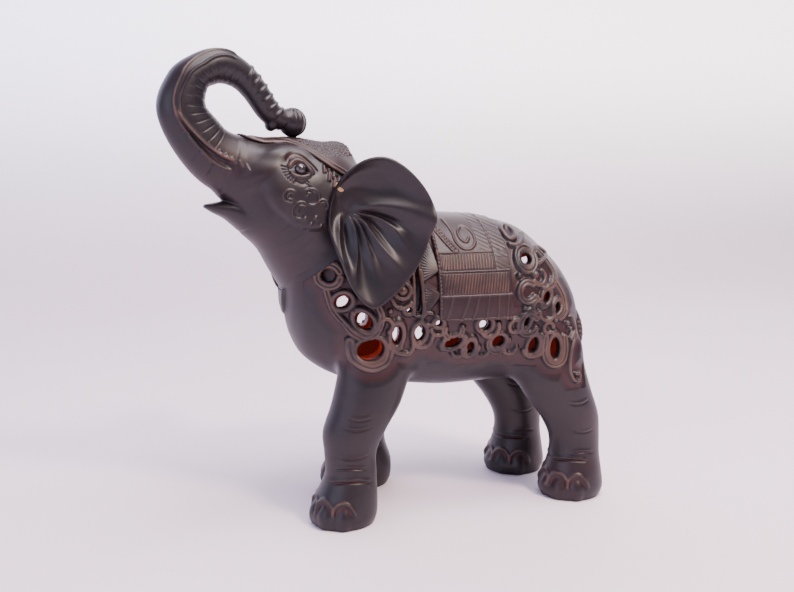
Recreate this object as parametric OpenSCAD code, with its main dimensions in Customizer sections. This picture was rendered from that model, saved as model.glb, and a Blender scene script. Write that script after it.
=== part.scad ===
// Standing elephant with a raised, looped trunk, carved in glued and dowelled blocks.
// It faces -X. Its left side is -Y. The soles stand on z = 0, under the middle of the
// figure's box.

/* [Overall] */
// Height from the soles to the top of the raised trunk
figure_h = 277; // [200:1:400]

/* [Body] */
// Thickness of the hollow body's wall
wall_t = 6; // [4:0.5:8]
// Height of the plane where the legs are glued on
leg_joint_z = 74; // [70:1:76]
// How far the pierced openings are opened up, as a factor of their drawn size
pierce_scale = 1; // [0.7:0.05:1.15]

/* [Head] */
// How far the head is turned to its left
head_turn = 15; // [0:1:18]

/* [Cloths] */
// Thickness of the saddle cloth
saddle_t = 2; // [1.5:0.25:3]
// Front edge of the saddle cloth, along the back
saddle_front_x = 16; // [12:1:22]
// Rear edge of the saddle cloth, along the back
saddle_rear_x = 62; // [56:1:68]
// Height of the hem of the saddle's side flaps
saddle_hem_z = 122; // [118:1:128]
// Thickness of the head cloth
headdress_t = 1.6; // [1:0.2:2.4]

/* [Ears] */
// Thickness of an ear
ear_t = 3.2; // [2.4:0.2:4]

/* [Dowels] */
// Diameter of the dowels in the legs, neck and head
dowel_d = 8; // [6:1:9]
// Diameter of the dowels in the trunk and ears
small_dowel_d = 5; // [4:0.5:6]
// Diameter of the pins in the jaw, the tail and the body halves
pin_d = 3.6; // [3:0.2:4]
// Glue gap around each dowel
glue_gap = 0.15; // [0.1:0.05:0.3]

/* [Hidden] */

drawn_h = 277;       // height at which every size below is drawn
box_shift = [0.1, -6, 0]; // puts the middle of the figure's box over the origin
big = 600;           // larger than the figure, for cutting planes
skin = 0.3;          // thickness of the thin discs that the forms are stretched over
ring_sides = 20;     // sides of those discs
round_sides = 48;    // sides of dowels and their bores
eye_sides = 24;      // sides of the eyes and of the trunk's tip
toe_sides = 12;      // sides of the toenails
pierce_sides = 16;   // sides of the pierced openings

neck_axis_x = -30;   // place of the upright axis that the head is turned about
left = -1;           // side of the figure, as a factor on y
right = 1;

stain = "#2b1a1c";
stain_light = "#3d2426";
pale_wood = "#b08a5c";
bead = "#0c0a0c";

// ---------- forms ----------
// A form is stretched over discs that stand at stations. Each station is
// [x, z, turn of the disc's long axis from +x towards +z, half length, half width, y,
// turn of the disc about the neck's upright axis]

barrel = [
    [-65, 130, 90, 12, 10, 0, 0],
    [-57, 130, 90, 31, 25, 0, 0],
    [-43, 130, 90, 43, 36, 0, 0],
    [-24, 130.5, 90, 50.5, 43, 0, 0],
    [  2, 130.5, 90, 53.5, 47, 0, 0],
    [ 30, 128.5, 90, 54.5, 49, 0, 0],
    [ 58, 127.5, 90, 53, 49, 0, 0],
    [ 82, 124.5, 90, 49.5, 46.5, 0, 0],
    [101, 119, 90, 40, 40, 0, 0],
    [115, 115, 90, 28, 29, 0, 0],
    [123, 113, 90, 12, 13, 0, 0]
];

neck_form = [
    [-12, 134, 37, 46, 40, 0, 0],
    [-26, 149, 37, 42, 38, 0, 0],
    [-40, 166, 37, 39, 35, 0, head_turn / 4],
    [-53, 185, 37, 39, 32, 0, head_turn],
    [-64, 197, 41, 38, 31, 0, head_turn]
];

// The forms of the head are drawn facing straight along -x and turned afterwards
head_form = [
    [-50, 186, 37, 38, 32, 0, 0],
    [-64, 197, 41, 38.5, 31.5, 0, 0],
    [-76, 202, 49, 32, 28, 0, 0],
    [-88.5, 206.3, 58, 23.5, 22, 0, 0],
    [-102.5, 211.8, 70, 17.6, 15.5, 0, 0]
];

trunk_form = [
    [-100, 211, 71, 18, 15.5, 0, 0],
    [-114.5, 220.3, 53, 16, 14, 0, 0],
    [-127, 241.5, 6, 13, 13, 0, 0],
    [-124.2, 257, -22, 11.5, 12, 0, 0],
    [-115.8, 263.6, -52, 10.2, 11, 0, 0],
    [-105.5, 266.5, -88, 9.8, 9.8, 0, 0],
    [ -94.3, 262.4, -113, 8.2, 8.6, 0, 0],
    [ -86, 254.8, -138, 7.4, 7.6, 0, 0],
    [ -76.4, 242, -146, 6.9, 6.9, 0, 0],
    [ -68, 238, -116, 6.7, 6.7, 0, 0]
];
trunk_tip = [-62.5, 0, 236.8];
trunk_tip_r = 8.2;
trunk_lip = [-76, 0, 234.6];
trunk_lip_r = 3.2;
trunk_lip_wide = 1.4;

jaw_form = [
    [-117, 190, 58, 1, 2, 0, 0],
    [-110.5, 189, 58, 3.6, 6.5, 0, 0],
    [-101.5, 187.7, 58, 6.7, 10.5, 0, 0],
    [ -91, 184.5, 58, 11, 15, 0, 0]
];

tail_form = [
    [117, 125, 40, 5, 6, 0, 0],
    [127, 113, 33, 4.6, 5, 0, 0],
    [132, 101, 5, 3.4, 3.8, 0, 0],
    [131,  89, -8, 2.6, 3, 0, 0],
    [129,  77, -8, 2.4, 2.6, 0, 0],
    [128,  67, -8, 3.4, 3.6, 0, 0],
    [127,  57, -5, 1, 1.2, 0, 0]
];

// Legs, from the top down to the sole. y is for the right side.
front_leg_form = [
    [-10, 128, 0, 22, 11, 31, 0],
    [-15, 108, 0, 23, 14, 31, 0],
    [-19,  90, 0, 22, 16, 31, 0],
    [-24,  72, 0, 21, 17, 30.5, 0],
    [-31,  56, 0, 19, 16.5, 30, 0],
    [-33.5, 43, 0, 15.8, 15, 30, 0],
    [-33.5, 30, 0, 15.6, 15.5, 30, 0],
    [-36,  17, 0, 18.6, 18, 30, 0],
    [-38,   6, 0, 20.4, 19, 30, 0],
    [-38,   0, 0, 18.5, 17.5, 30, 0]
];
hind_leg_form = [
    [ 88, 122, 0, 20, 12, 29, 0],
    [ 92, 104, 0, 25, 16, 29, 0],
    [ 96,  86, 0, 24.5, 18, 28.5, 0],
    [103,  70, 0, 22.8, 18, 28, 0],
    [112,  54, 0, 19.5, 17, 27.5, 0],
    [116.5, 40, 0, 16.6, 15.5, 27, 0],
    [117,  28, 0, 16.6, 15.5, 27, 0],
    [116,  15, 0, 19.4, 18, 27, 0],
    [115,   6, 0, 21.4, 19, 27, 0],
    [115,   0, 0, 19, 17.5, 27, 0]
];
// The right front foot is longer than the left one below this height
right_foot_top_z = 20;
right_foot_stretch = 1.18;
front_right_form = [
    for (s = front_leg_form)
        s[1] > right_foot_top_z
            ? s
            : [s[0], s[1], s[2], s[3] * right_foot_stretch, s[4], s[5], s[6]]
];

// How far the right legs stand from the left ones along x, for the walking pose
front_right_shift = 22;
hind_right_shift = -16;

// Toenails: place round the foot from straight ahead, in degrees
toe_turns = [-62, -22, 22, 62];
toe_r = 6.2;

// Planes where the blocks meet, as [x, z, tilt from level towards +x up]
neck_plane = [-38, 162.5, 37];
head_plane = [-57, 189, 37];
trunk_plane = [-101, 211.5, 71];

// Pierced openings of each flank: [x, z, half length, half width, turn from +x towards +z]
left_piercings = [
    [-39.5, 135.5, 4.4, 3.8, 30],
    [-28, 124, 5.8, 4, -50],
    [-24, 107, 7.6, 6.2, 20],
    [-9, 115, 5.4, 3, 85],
    [-2, 129.8, 1.6, 1.4, 0],
    [4.8, 115.5, 4.6, 3.3, 85],
    [16, 121.3, 1.9, 1.7, 0],
    [26, 109, 5, 3, 20],
    [37, 105, 3.6, 2.2, 90],
    [44.5, 119, 3.9, 3.5, 0],
    [54.5, 108, 3.9, 3.5, 20],
    [72, 119.6, 3.2, 1.5, 70],
    [75, 156, 3.6, 3.2, 0],
    [78, 104, 5, 3, 80],
    [86, 133, 3.6, 2.3, 60],
    [92.2, 101.4, 6.4, 3.4, 90],
    [94, 126, 3.4, 2.2, 60]
];
right_piercings = [
    [-39.5, 135.5, 4.4, 3.8, 30],
    [-21, 122, 5.2, 4.4, 0],
    [-8.5, 110.5, 4.4, 3.6, 60],
    [4.8, 121, 3.4, 2.8, 85],
    [14.6, 99, 5.4, 3.2, 85],
    [26, 114, 2.4, 2.2, 0],
    [31.4, 99, 4.8, 3.6, 85],
    [46.8, 104, 3.2, 2.8, 0],
    [64, 112, 3.9, 3.4, 0],
    [80, 101.5, 4.4, 3.8, 0],
    [75, 156, 3.6, 3.2, 0],
    [86, 133, 3.6, 2.3, 60],
    [94, 126, 3.4, 2.2, 60],
    [102, 149, 3.6, 3.2, 0]
];

eye_place = [-70, 25.5, 210];
eye_r = 3.4;

// Outline of an ear: [x, z], from the root's top round to its bottom, and its flare,
// the distance that the outline stands out from the middle plane
ear_root = [-49, 191];
ear_root_y = 32;
ear_edge = [
    [-54, 199, 36], [-47, 210, 41], [-38, 216, 46], [-28, 216.5, 51], [-18, 210, 56],
    [-9, 199, 60], [-5, 188, 62], [-6.5, 176, 62], [-11, 162, 61], [-19, 149, 59],
    [-29, 138.5, 56], [-39, 132.5, 53], [-48, 141, 49], [-54, 155, 44], [-57.5, 170, 39],
    [-58, 183, 36]
];
ear_rings = 6;
ear_steps = 2;
ear_pleats = 7;
pleat_h = 3.2;
ear_dish = 5;
// How far the right ear swings forward about its root, in degrees
right_ear_swing = 10;

// Slants of the dowels: turn from upright towards -x
neck_lean = neck_plane[2];
tail_lean = -70;
jaw_lean = 75;

// Half lengths of the dowels
leg_dowel_half = 12;
neck_dowel_half = 9;
trunk_dowel_half = 10;
ear_dowel_half = 6;
tail_dowel_half = 6;
jaw_pin_half = 7;
body_pin_half = 8;

// Places of the dowels: how far the pairs stand from the middle plane, and [x, z] or
// [x, y, z] of their middles
neck_dowel_y = 17;
head_dowel_y = 13;
ear_dowel_at = [-49, 28.5, 200];
tail_dowel_at = [121.2, 0, 113.8];
jaw_pin_at = [-96, 6, 184];
body_pins_at = [[-52, 112], [119, 102]];

// The round boss behind an ear, where its dowel enters
ear_boss_r = 4;
ear_boss_half = 3.5;
ear_boss_y = 31.5;

// A piercing is cut from the middle of the flank's wall, through to the hollow
pierce_y = 42;
pierce_depth = 50;

// Cuts that leave room for the neighbouring pieces
hollow_end = [8, -12];
chest_cut = 33;
tip_room = [50, 40, 40];
tip_room_at = [-67.5, 246.8];
crown_room = [60, 44, 30];
crown_room_at = [-66, 224];

// How far the toenails stand in from the edge of the sole, and how high
toe_inset = [2.5, 2];
toe_z = 5;
toe_tall = 1.1;

// ---------- functions ----------
function smooth4(a, b, c, d, t) =
    0.5 * (2 * b + (c - a) * t + (2 * a - 5 * b + 4 * c - d) * t * t
    + (3 * b - a - 3 * c + d) * t * t * t);
// A form's station at place u, counted in stations
function station(s, u) =
    let(n = len(s) - 1, i = min(floor(u), n - 1))
    smooth4(s[max(i - 1, 0)], s[i], s[i + 1], s[min(i + 2, n)], u - i);
// The same on a closed outline
function station_closed(s, u) =
    let(n = len(s), i = floor(u))
    smooth4(s[(i + n - 1) % n], s[i % n], s[(i + 1) % n], s[(i + 2) % n], u - i);

// ---------- building blocks ----------
module full_size() {
    scale(figure_h / drawn_h) translate(box_shift) children();
}

// Turns a shape about the neck's upright axis
module neck_turn(degrees) {
    translate([neck_axis_x, 0, 0]) rotate([0, 0, degrees]) translate([-neck_axis_x, 0, 0]) children();
}

module disc(s, grow) {
    neck_turn(s[6])
        translate([s[0], s[5], s[1]])
            rotate([0, -s[2], 0])
                scale([s[3] + grow, s[4] + grow, 1])
                    cylinder(h = skin, r = 1, center = true, $fn = ring_sides);
}

// A solid stretched over a form's stations, with per_gap steps between two of them
module stretched(s, per_gap, grow = 0) {
    steps = (len(s) - 1) * per_gap;
    for (k = [0 : steps - 1])
        hull() {
            disc(station(s, k / per_gap), grow);
            disc(station(s, (k + 1) / per_gap), grow);
        }
}

// Everything on the upper side of a joint plane
module above(plane) {
    translate([plane[0], 0, plane[1]])
        rotate([0, -plane[2], 0])
            translate([0, 0, big / 2]) cube(big, center = true);
}

module below(plane) {
    translate([plane[0], 0, plane[1]])
        rotate([0, -plane[2], 0])
            translate([0, 0, -big / 2]) cube(big, center = true);
}

module half_space(side) {
    translate([0, side * big / 2, 0]) cube(big, center = true);
}

// A round stick: place of its middle, turn from upright towards -x, radius, half length
module stick(place, lean, r, half) {
    translate(place) rotate([0, -lean, 0])
        cylinder(h = 2 * half, r = r, center = true, $fn = round_sides);
}

module cross_stick(place, r, half) {
    translate(place) rotate([90, 0, 0])
        cylinder(h = 2 * half, r = r, center = true, $fn = round_sides);
}

// ---------- legs ----------
module leg_solid(form, side, shift) {
    translate([shift, 0, 0]) scale([1, side, 1]) {
        stretched(form, 2);
        foot = form[len(form) - 1];
        for (t = toe_turns)
            translate([
                foot[0] - cos(t) * (foot[3] - toe_inset[0]),
                foot[5] + sin(t) * (foot[4] - toe_inset[1]),
                toe_z
            ])
                scale([1, 1, toe_tall]) sphere(toe_r, $fn = toe_sides);
    }
}

module leg(form, side, shift, dowel_x) {
    color(stain) difference() {
        intersection() {
            leg_solid(form, side, shift);
            translate([0, 0, leg_joint_z / 2]) cube([big, big, leg_joint_z], center = true);
        }
        stick([dowel_x + shift, side * form[2][5], leg_joint_z], 0,
            dowel_d / 2 + glue_gap, leg_dowel_half + glue_gap);
    }
}

front_dowel_x = -22;
hind_dowel_x = 101;

module leg_dowel_set(extra) {
    for (p = [
        [front_dowel_x, left * front_leg_form[2][5]],
        [front_dowel_x + front_right_shift, right * front_leg_form[2][5]],
        [hind_dowel_x, left * hind_leg_form[2][5]],
        [hind_dowel_x + hind_right_shift, right * hind_leg_form[2][5]]
    ])
        stick([p[0], p[1], leg_joint_z], 0, dowel_d / 2 + extra, leg_dowel_half + extra);
}

// ---------- body ----------
module haunches() {
    intersection() {
        union() {
            leg_solid(front_leg_form, left, 0);
            leg_solid(front_right_form, right, front_right_shift);
            leg_solid(hind_leg_form, left, 0);
            leg_solid(hind_leg_form, right, hind_right_shift);
        }
        translate([0, 0, leg_joint_z + big / 2]) cube(big, center = true);
    }
}

module hollow() {
    intersection() {
        stretched([for (i = [2 : len(barrel) - 2]) barrel[i]], 1, -wall_t);
        below([neck_plane[0] + hollow_end[0], neck_plane[1] + hollow_end[1], neck_plane[2]]);
    }
}

module piercing(p, side) {
    translate([p[0], side * pierce_y, p[1]])
        rotate([0, -p[4], 0])
            scale([p[2] * pierce_scale, 1, p[3] * pierce_scale])
                rotate([90, 0, 0]) cylinder(h = pierce_depth, r = 1, center = true, $fn = pierce_sides);
}

module body_pin_set(extra) {
    for (p = body_pins_at)
        cross_stick([p[0], 0, p[1]], pin_d / 2 + extra, body_pin_half + extra);
}

module neck_dowel_set(extra) {
    for (side = [left, right])
        stick([neck_plane[0], side * neck_dowel_y, neck_plane[1]], neck_lean,
            dowel_d / 2 + extra, neck_dowel_half + extra);
}

module head_dowel_set(extra) {
    for (side = [left, right])
        stick([head_plane[0], side * head_dowel_y, head_plane[1]], neck_lean,
            dowel_d / 2 + extra, neck_dowel_half + extra);
}

module tail_dowel_shape(extra) {
    stick(tail_dowel_at, tail_lean, pin_d / 2 + extra, tail_dowel_half + extra);
}

module body_half(side) {
    color(stain) difference() {
        intersection() {
            union() {
                stretched(barrel, 2);
                haunches();
                intersection() {
                    stretched(neck_form, 1);
                    below(neck_plane);
                }
            }
            half_space(side);
            union() {
                below(neck_plane);
                translate([neck_plane[0] + big / 2 + chest_cut, 0, 0])
                    cube([big, big, 2 * big], center = true);
            }
        }
        hollow();
        for (p = side == left ? left_piercings : right_piercings) piercing(p, side);
        leg_dowel_set(glue_gap);
        neck_dowel_set(glue_gap);
        body_pin_set(glue_gap);
        tail_dowel_shape(glue_gap);
    }
}

// ---------- neck and head ----------
// Everything of the head is drawn facing along -x; head_turned puts it in its place
module head_turned() {
    neck_turn(head_turn) children();
}

module neck() {
    color(stain) difference() {
        intersection() {
            stretched(neck_form, 2);
            above(neck_plane);
            head_turned() below(head_plane);
        }
        neck_dowel_set(glue_gap);
        head_turned() head_dowel_set(glue_gap);
    }
}

// The neck as the head's own pieces meet it
module neck_seen_from_head() {
    neck_turn(-head_turn) stretched(neck_form, 2);
}

module head_solid(grow = 0) {
    intersection() {
        stretched(head_form, 2, grow);
        above(head_plane);
        below(trunk_plane);
    }
}

module eye_at(side, r) {
    translate([eye_place[0], side * eye_place[1], eye_place[2]]) sphere(r, $fn = eye_sides);
}

module trunk_dowel_shape(extra) {
    stick([trunk_plane[0], 0, trunk_plane[1]], trunk_plane[2],
        small_dowel_d / 2 + extra, trunk_dowel_half + extra);
}

module ear_dowel_set(extra) {
    for (side = [left, right])
        cross_stick([ear_dowel_at[0], side * ear_dowel_at[1], ear_dowel_at[2]],
            small_dowel_d / 2 + extra, ear_dowel_half + extra);
}

module jaw_pin_set(extra) {
    for (side = [left, right])
        stick([jaw_pin_at[0], side * jaw_pin_at[1], jaw_pin_at[2]], jaw_lean,
            pin_d / 2 + extra, jaw_pin_half + extra);
}

module head() {
    color(stain) difference() {
        head_solid();
        eye_at(left, eye_r);
        eye_at(right, eye_r);
        head_dowel_set(glue_gap);
        trunk_dowel_shape(glue_gap);
        ear_dowel_set(glue_gap);
        jaw_pin_set(glue_gap);
    }
}

module lower_jaw() {
    color(stain) difference() {
        stretched(jaw_form, 3);
        stretched(head_form, 2);
        neck_seen_from_head();
        jaw_pin_set(glue_gap);
    }
}

module trunk() {
    color(stain) difference() {
        union() {
            intersection() {
                stretched(trunk_form, 2);
                union() {
                    above(trunk_plane);
                    translate([tip_room_at[0], 0, tip_room_at[1]]) cube(tip_room, center = true);
                }
            }
            translate(trunk_tip) sphere(trunk_tip_r, $fn = eye_sides);
            translate(trunk_lip) scale([1, trunk_lip_wide, 1]) sphere(trunk_lip_r, $fn = toe_sides);
        }
        stretched(head_form, 2, headdress_t);
        trunk_dowel_shape(glue_gap);
    }
}

module headdress() {
    color(stain_light) difference() {
        intersection() {
            stretched(head_form, 2, headdress_t);
            translate([crown_room_at[0], 0, crown_room_at[1]]) cube(crown_room, center = true);
            above([head_plane[0], head_plane[1] + glue_gap, head_plane[2]]);
            below(trunk_plane);
        }
        stretched(head_form, 2);
        translate(trunk_tip) sphere(trunk_tip_r, $fn = eye_sides);
    }
}

// ---------- ears ----------
// Point of an ear's sheet: u round the outline, v from the root to the edge
function ear_point(u, v, lift) =
    let(
        e = station_closed(ear_edge, u),
        pleat = pleat_h * sin(u / len(ear_edge) * 360 * ear_pleats) * v * (1 - v),
        dish = ear_dish * v * (1 - v)
    )
    [
        ear_root[0] + (e[0] - ear_root[0]) * v,
        -(ear_root_y + (e[2] - ear_root_y) * v + lift + pleat - dish),
        ear_root[1] + (e[1] - ear_root[1]) * v
    ];

module ear_sheet() {
    around = len(ear_edge) * ear_steps;
    front = [for (i = [1 : ear_rings], j = [0 : around - 1])
        ear_point(j / ear_steps, i / ear_rings, ear_t / 2)];
    back = [for (i = [1 : ear_rings], j = [0 : around - 1])
        ear_point(j / ear_steps, i / ear_rings, -ear_t / 2)];
    tips = [ear_point(0, 0, ear_t / 2), ear_point(0, 0, -ear_t / 2)];
    n = around * ear_rings;
    polyhedron(
        points = concat(front, back, tips),
        faces = concat(
            [for (i = [0 : ear_rings - 2], j = [0 : around - 1]) each let(
                a = i * around + j, b = i * around + (j + 1) % around)
                [[b, a, a + around], [b, a + around, b + around]]],
            [for (i = [0 : ear_rings - 2], j = [0 : around - 1]) each let(
                a = n + i * around + j, b = n + i * around + (j + 1) % around)
                [[a, b, a + around], [b, b + around, a + around]]],
            [for (j = [0 : around - 1]) [2 * n, j, (j + 1) % around]],
            [for (j = [0 : around - 1]) [2 * n + 1, n + (j + 1) % around, n + j]],
            [for (j = [0 : around - 1]) each let(
                a = n - around + j, b = n - around + (j + 1) % around)
                [[b, a, a + n], [b, a + n, b + n]]]
        )
    );
}

module ear(side, swing) {
    root = [ear_root[0], 0, ear_root[1]];
    color(stain) difference() {
        union() {
            translate(root) rotate([0, swing, 0]) translate(-root)
                scale([1, -side, 1]) ear_sheet();
            cross_stick([ear_dowel_at[0], side * ear_boss_y, ear_dowel_at[2]], ear_boss_r, ear_boss_half);
        }
        stretched(head_form, 2);
        neck_seen_from_head();
        ear_dowel_set(glue_gap);
    }
}

// ---------- saddle cloth ----------
// The cloth is stretched over the stations round the middle of the barrel only
saddle_first = 3;
saddle_last = 7;

module saddle_layer(thick) {
    middle = [for (i = [saddle_first : saddle_last]) barrel[i]];
    difference() {
        stretched(middle, 2, thick);
        stretched(barrel, 2);
    }
}

saddle_split_z = 159;
saddle_room = 120;
saddle_mid_x = (saddle_front_x + saddle_rear_x) / 2;
saddle_len = saddle_rear_x - saddle_front_x;

module saddle_top() {
    color(stain_light) intersection() {
        saddle_layer(saddle_t);
        translate([saddle_mid_x, 0, saddle_split_z + saddle_room / 2])
            cube([saddle_len, saddle_room, saddle_room], center = true);
    }
}

module saddle_flap(side) {
    flap_h = saddle_split_z - saddle_hem_z;
    color(stain_light) scale([1, side, 1]) intersection() {
        saddle_layer(saddle_t);
        translate([saddle_mid_x, saddle_room / 2, saddle_hem_z + flap_h / 2])
            cube([saddle_len, saddle_room, flap_h], center = true);
    }
}

// ---------- tail ----------
module tail() {
    color(stain) difference() {
        stretched(tail_form, 2);
        stretched(barrel, 2);
        leg_solid(hind_leg_form, left, 0);
        leg_solid(hind_leg_form, right, hind_right_shift);
        tail_dowel_shape(glue_gap);
    }
}

// ---------- the figure ----------
full_size() body_half(left);  // body_left
full_size() body_half(right);  // body_right
full_size() neck();
full_size() head_turned() head();
full_size() head_turned() lower_jaw();
full_size() head_turned() trunk();
full_size() head_turned() ear(left, 0);  // left_ear
full_size() head_turned() ear(right, right_ear_swing);  // right_ear
full_size() head_turned() color(bead) eye_at(left, eye_r);  // left_eye
full_size() head_turned() color(bead) eye_at(right, eye_r);  // right_eye
full_size() head_turned() headdress();
full_size() saddle_top();
full_size() saddle_flap(left);  // saddle_left_flap
full_size() saddle_flap(right);  // saddle_right_flap
full_size() leg(front_leg_form, left, 0, front_dowel_x);  // front_left_leg
full_size() leg(front_right_form, right, front_right_shift, front_dowel_x);  // front_right_leg
full_size() leg(hind_leg_form, left, 0, hind_dowel_x);  // hind_left_leg
full_size() leg(hind_leg_form, right, hind_right_shift, hind_dowel_x);  // hind_right_leg
full_size() tail();
full_size() color(pale_wood) leg_dowel_set(0);  // leg_dowels
full_size() head_turned() color(pale_wood) ear_dowel_set(0);  // ear_dowels
full_size() color(pale_wood) neck_dowel_set(0);  // neck_dowels
full_size() head_turned() color(pale_wood) head_dowel_set(0);  // head_dowels
full_size() head_turned() color(pale_wood) trunk_dowel_shape(0);  // trunk_dowel
full_size() color(pale_wood) tail_dowel_shape(0);  // tail_dowel
full_size() head_turned() color(pale_wood) jaw_pin_set(0);  // jaw_pins
full_size() color(pale_wood) body_pin_set(0);  // body_pins
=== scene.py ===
# Looks of the carved elephant: a stained wooden figure with a raised, looped trunk, pierced
# flanks, carved cloths, pleated ears and toenails. Lengths are in millimetres until a mesh
# is made, and the head is carved facing straight ahead and turned afterwards.
import math

import bmesh
import bpy
import numpy as np
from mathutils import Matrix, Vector


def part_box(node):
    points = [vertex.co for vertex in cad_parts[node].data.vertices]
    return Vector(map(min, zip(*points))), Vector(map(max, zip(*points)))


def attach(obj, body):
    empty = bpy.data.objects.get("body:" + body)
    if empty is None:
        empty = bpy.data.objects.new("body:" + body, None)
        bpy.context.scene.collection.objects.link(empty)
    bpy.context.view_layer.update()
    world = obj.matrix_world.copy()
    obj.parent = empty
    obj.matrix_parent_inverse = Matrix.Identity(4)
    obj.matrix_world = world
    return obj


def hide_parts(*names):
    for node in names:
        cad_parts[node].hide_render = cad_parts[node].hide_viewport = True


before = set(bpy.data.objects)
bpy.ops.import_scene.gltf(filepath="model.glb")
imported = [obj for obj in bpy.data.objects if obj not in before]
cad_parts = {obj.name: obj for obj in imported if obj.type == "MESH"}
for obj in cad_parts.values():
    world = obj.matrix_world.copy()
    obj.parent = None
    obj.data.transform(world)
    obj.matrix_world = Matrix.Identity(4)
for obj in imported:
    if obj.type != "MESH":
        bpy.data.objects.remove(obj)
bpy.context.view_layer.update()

MM = 0.001
LEFT = -1
RIGHT = 1
SIDES = {LEFT: "left", RIGHT: "right"}

# ---------- where the figure stands ----------
SADDLE_MID_X = 39.0
saddle_low, saddle_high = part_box("saddle_top")
SHIFT = np.array([
    (saddle_low.x + saddle_high.x) / 2 / MM - SADDLE_MID_X,
    (saddle_low.y + saddle_high.y) / 2 / MM,
    0.0,
])
NECK_AXIS_X = -30.0
HEAD_TURN = 15.0
LEG_JOINT_Z = 74.0
NECK_PLANE = (-38.0, 162.5, 37.0)
HEAD_PLANE = (-57.0, 189.0, 37.0)
TRUNK_PLANE = (-101.0, 211.5, 71.0)

# ---------- forms ----------
# A form is swept over stations: x, z, lean of the long axis from +x towards +z,
# half length, half width, y
BARREL = [
    (-67, 130, 90, 5, 4, 0),
    (-64, 130, 90, 19, 15, 0),
    (-57, 130, 90, 32, 26, 0),
    (-43, 130, 90, 43, 36, 0),
    (-24, 130.5, 90, 50.5, 43, 0),
    (2, 130.5, 90, 53.5, 47, 0),
    (30, 128.5, 90, 54.5, 49, 0),
    (58, 127.5, 90, 53, 49, 0),
    (82, 124.5, 90, 49.5, 46.5, 0),
    (101, 119, 90, 40, 40, 0),
    (114, 115, 90, 29, 29, 0),
    (121, 113, 90, 17, 18, 0),
    (124, 113, 90, 5, 5, 0),
]
NECK = [
    (-12, 134, 37, 46, 40, 0),
    (-26, 149, 37, 42, 38, 0),
    (-40, 166, 37, 39, 35, 0),
    (-53, 185, 37, 38, 32, 0),
    (-64, 197, 41, 34, 27, 0),
]
HEAD = [
    (-34, 168, 37, 30, 26, 0),
    (-50, 186, 37, 37.5, 32, 0),
    (-64, 197, 41, 38.5, 31.5, 0),
    (-76, 202, 49, 32, 28, 0),
    (-88.5, 206.3, 58, 23.5, 22, 0),
    (-102.5, 211.8, 70, 17.6, 15.5, 0),
]
TRUNK = [
    (-100, 211, 71, 18, 15.5, 0),
    (-114.5, 220.3, 53, 16, 14, 0),
    (-127.8, 241.5, 6, 14, 13, 0),
    (-124.2, 257, -22, 11.5, 12, 0),
    (-115.8, 263.6, -52, 10.2, 11, 0),
    (-105.5, 266.5, -88, 9.8, 9.8, 0),
    (-94.3, 262.4, -113, 8.2, 8.6, 0),
    (-86, 254.8, -138, 7.4, 7.6, 0),
    (-76.4, 242, -146, 6.9, 6.9, 0),
    (-68, 238, -116, 6.7, 6.7, 0),
]
TRUNK_TIP = (-62.5, 0, 236.8)
TRUNK_TIP_SIZE = (8.2, 8.2, 8.4)
TRUNK_LIP = (-76, 0, 234.6)
TRUNK_LIP_SIZE = (3.2, 4.4, 3.2)
# Swellings of the skull: middle, half sizes, fillet
CROWN = ((-35, 0, 214), (10, 13, 11), 5.0)
BROW = ((-67, 0, 217), (17, 12, 10), 4.0)
JAW = [
    (-117, 190, 58, 1, 2, 0),
    (-110.5, 189, 58, 3.6, 6.5, 0),
    (-101.5, 187.7, 58, 6.7, 10.5, 0),
    (-91, 184.5, 58, 11, 15, 0),
]
TAIL = [
    (117, 125, 40, 5, 6, 0),
    (127, 113, 33, 4.6, 5, 0),
    (132, 101, 5, 3.4, 3.8, 0),
    (131, 89, -8, 2.6, 3, 0),
    (129, 77, -8, 2.4, 2.6, 0),
    (128, 67, -8, 3.4, 3.6, 0),
    (127, 57, -5, 1, 1.2, 0),
]
FRONT_LEG = [
    (-10, 128, 0, 22, 11, 31),
    (-15, 108, 0, 23, 14, 31),
    (-19, 90, 0, 22, 16, 31),
    (-24, 72, 0, 21, 17, 30.5),
    (-31, 56, 0, 19, 16.5, 30),
    (-33.5, 43, 0, 15.8, 15, 30),
    (-33.5, 30, 0, 15.6, 15.5, 30),
    (-36, 17, 0, 18.6, 18, 30),
    (-38, 6, 0, 20.4, 19, 30),
    (-38, 0, 0, 18.5, 17.5, 30),
]
HIND_LEG = [
    (88, 122, 0, 20, 12, 29),
    (92, 104, 0, 25, 16, 29),
    (96, 86, 0, 24.5, 18, 28.5),
    (103, 70, 0, 22.8, 18, 28),
    (112, 54, 0, 19.5, 17, 27.5),
    (116.5, 40, 0, 16.6, 15.5, 27),
    (117, 28, 0, 16.6, 15.5, 27),
    (116, 15, 0, 19.4, 18, 27),
    (115, 6, 0, 21.4, 19, 27),
    (115, 0, 0, 19, 17.5, 27),
]
# The right front foot is longer than the left one
FOOT_TOP_Z = 20
FOOT_STRETCH = 1.18
FRONT_RIGHT_LEG = [
    (x, z, lean, tall * (FOOT_STRETCH if z < FOOT_TOP_Z else 1), wide, y)
    for x, z, lean, tall, wide, y in FRONT_LEG
]
FRONT_RIGHT_SHIFT = 22.0
HIND_RIGHT_SHIFT = -16.0
LEGS = {
    "front_left_leg": (FRONT_LEG, LEFT, 0.0),
    "front_right_leg": (FRONT_RIGHT_LEG, RIGHT, FRONT_RIGHT_SHIFT),
    "hind_left_leg": (HIND_LEG, LEFT, 0.0),
    "hind_right_leg": (HIND_LEG, RIGHT, HIND_RIGHT_SHIFT),
}

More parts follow.
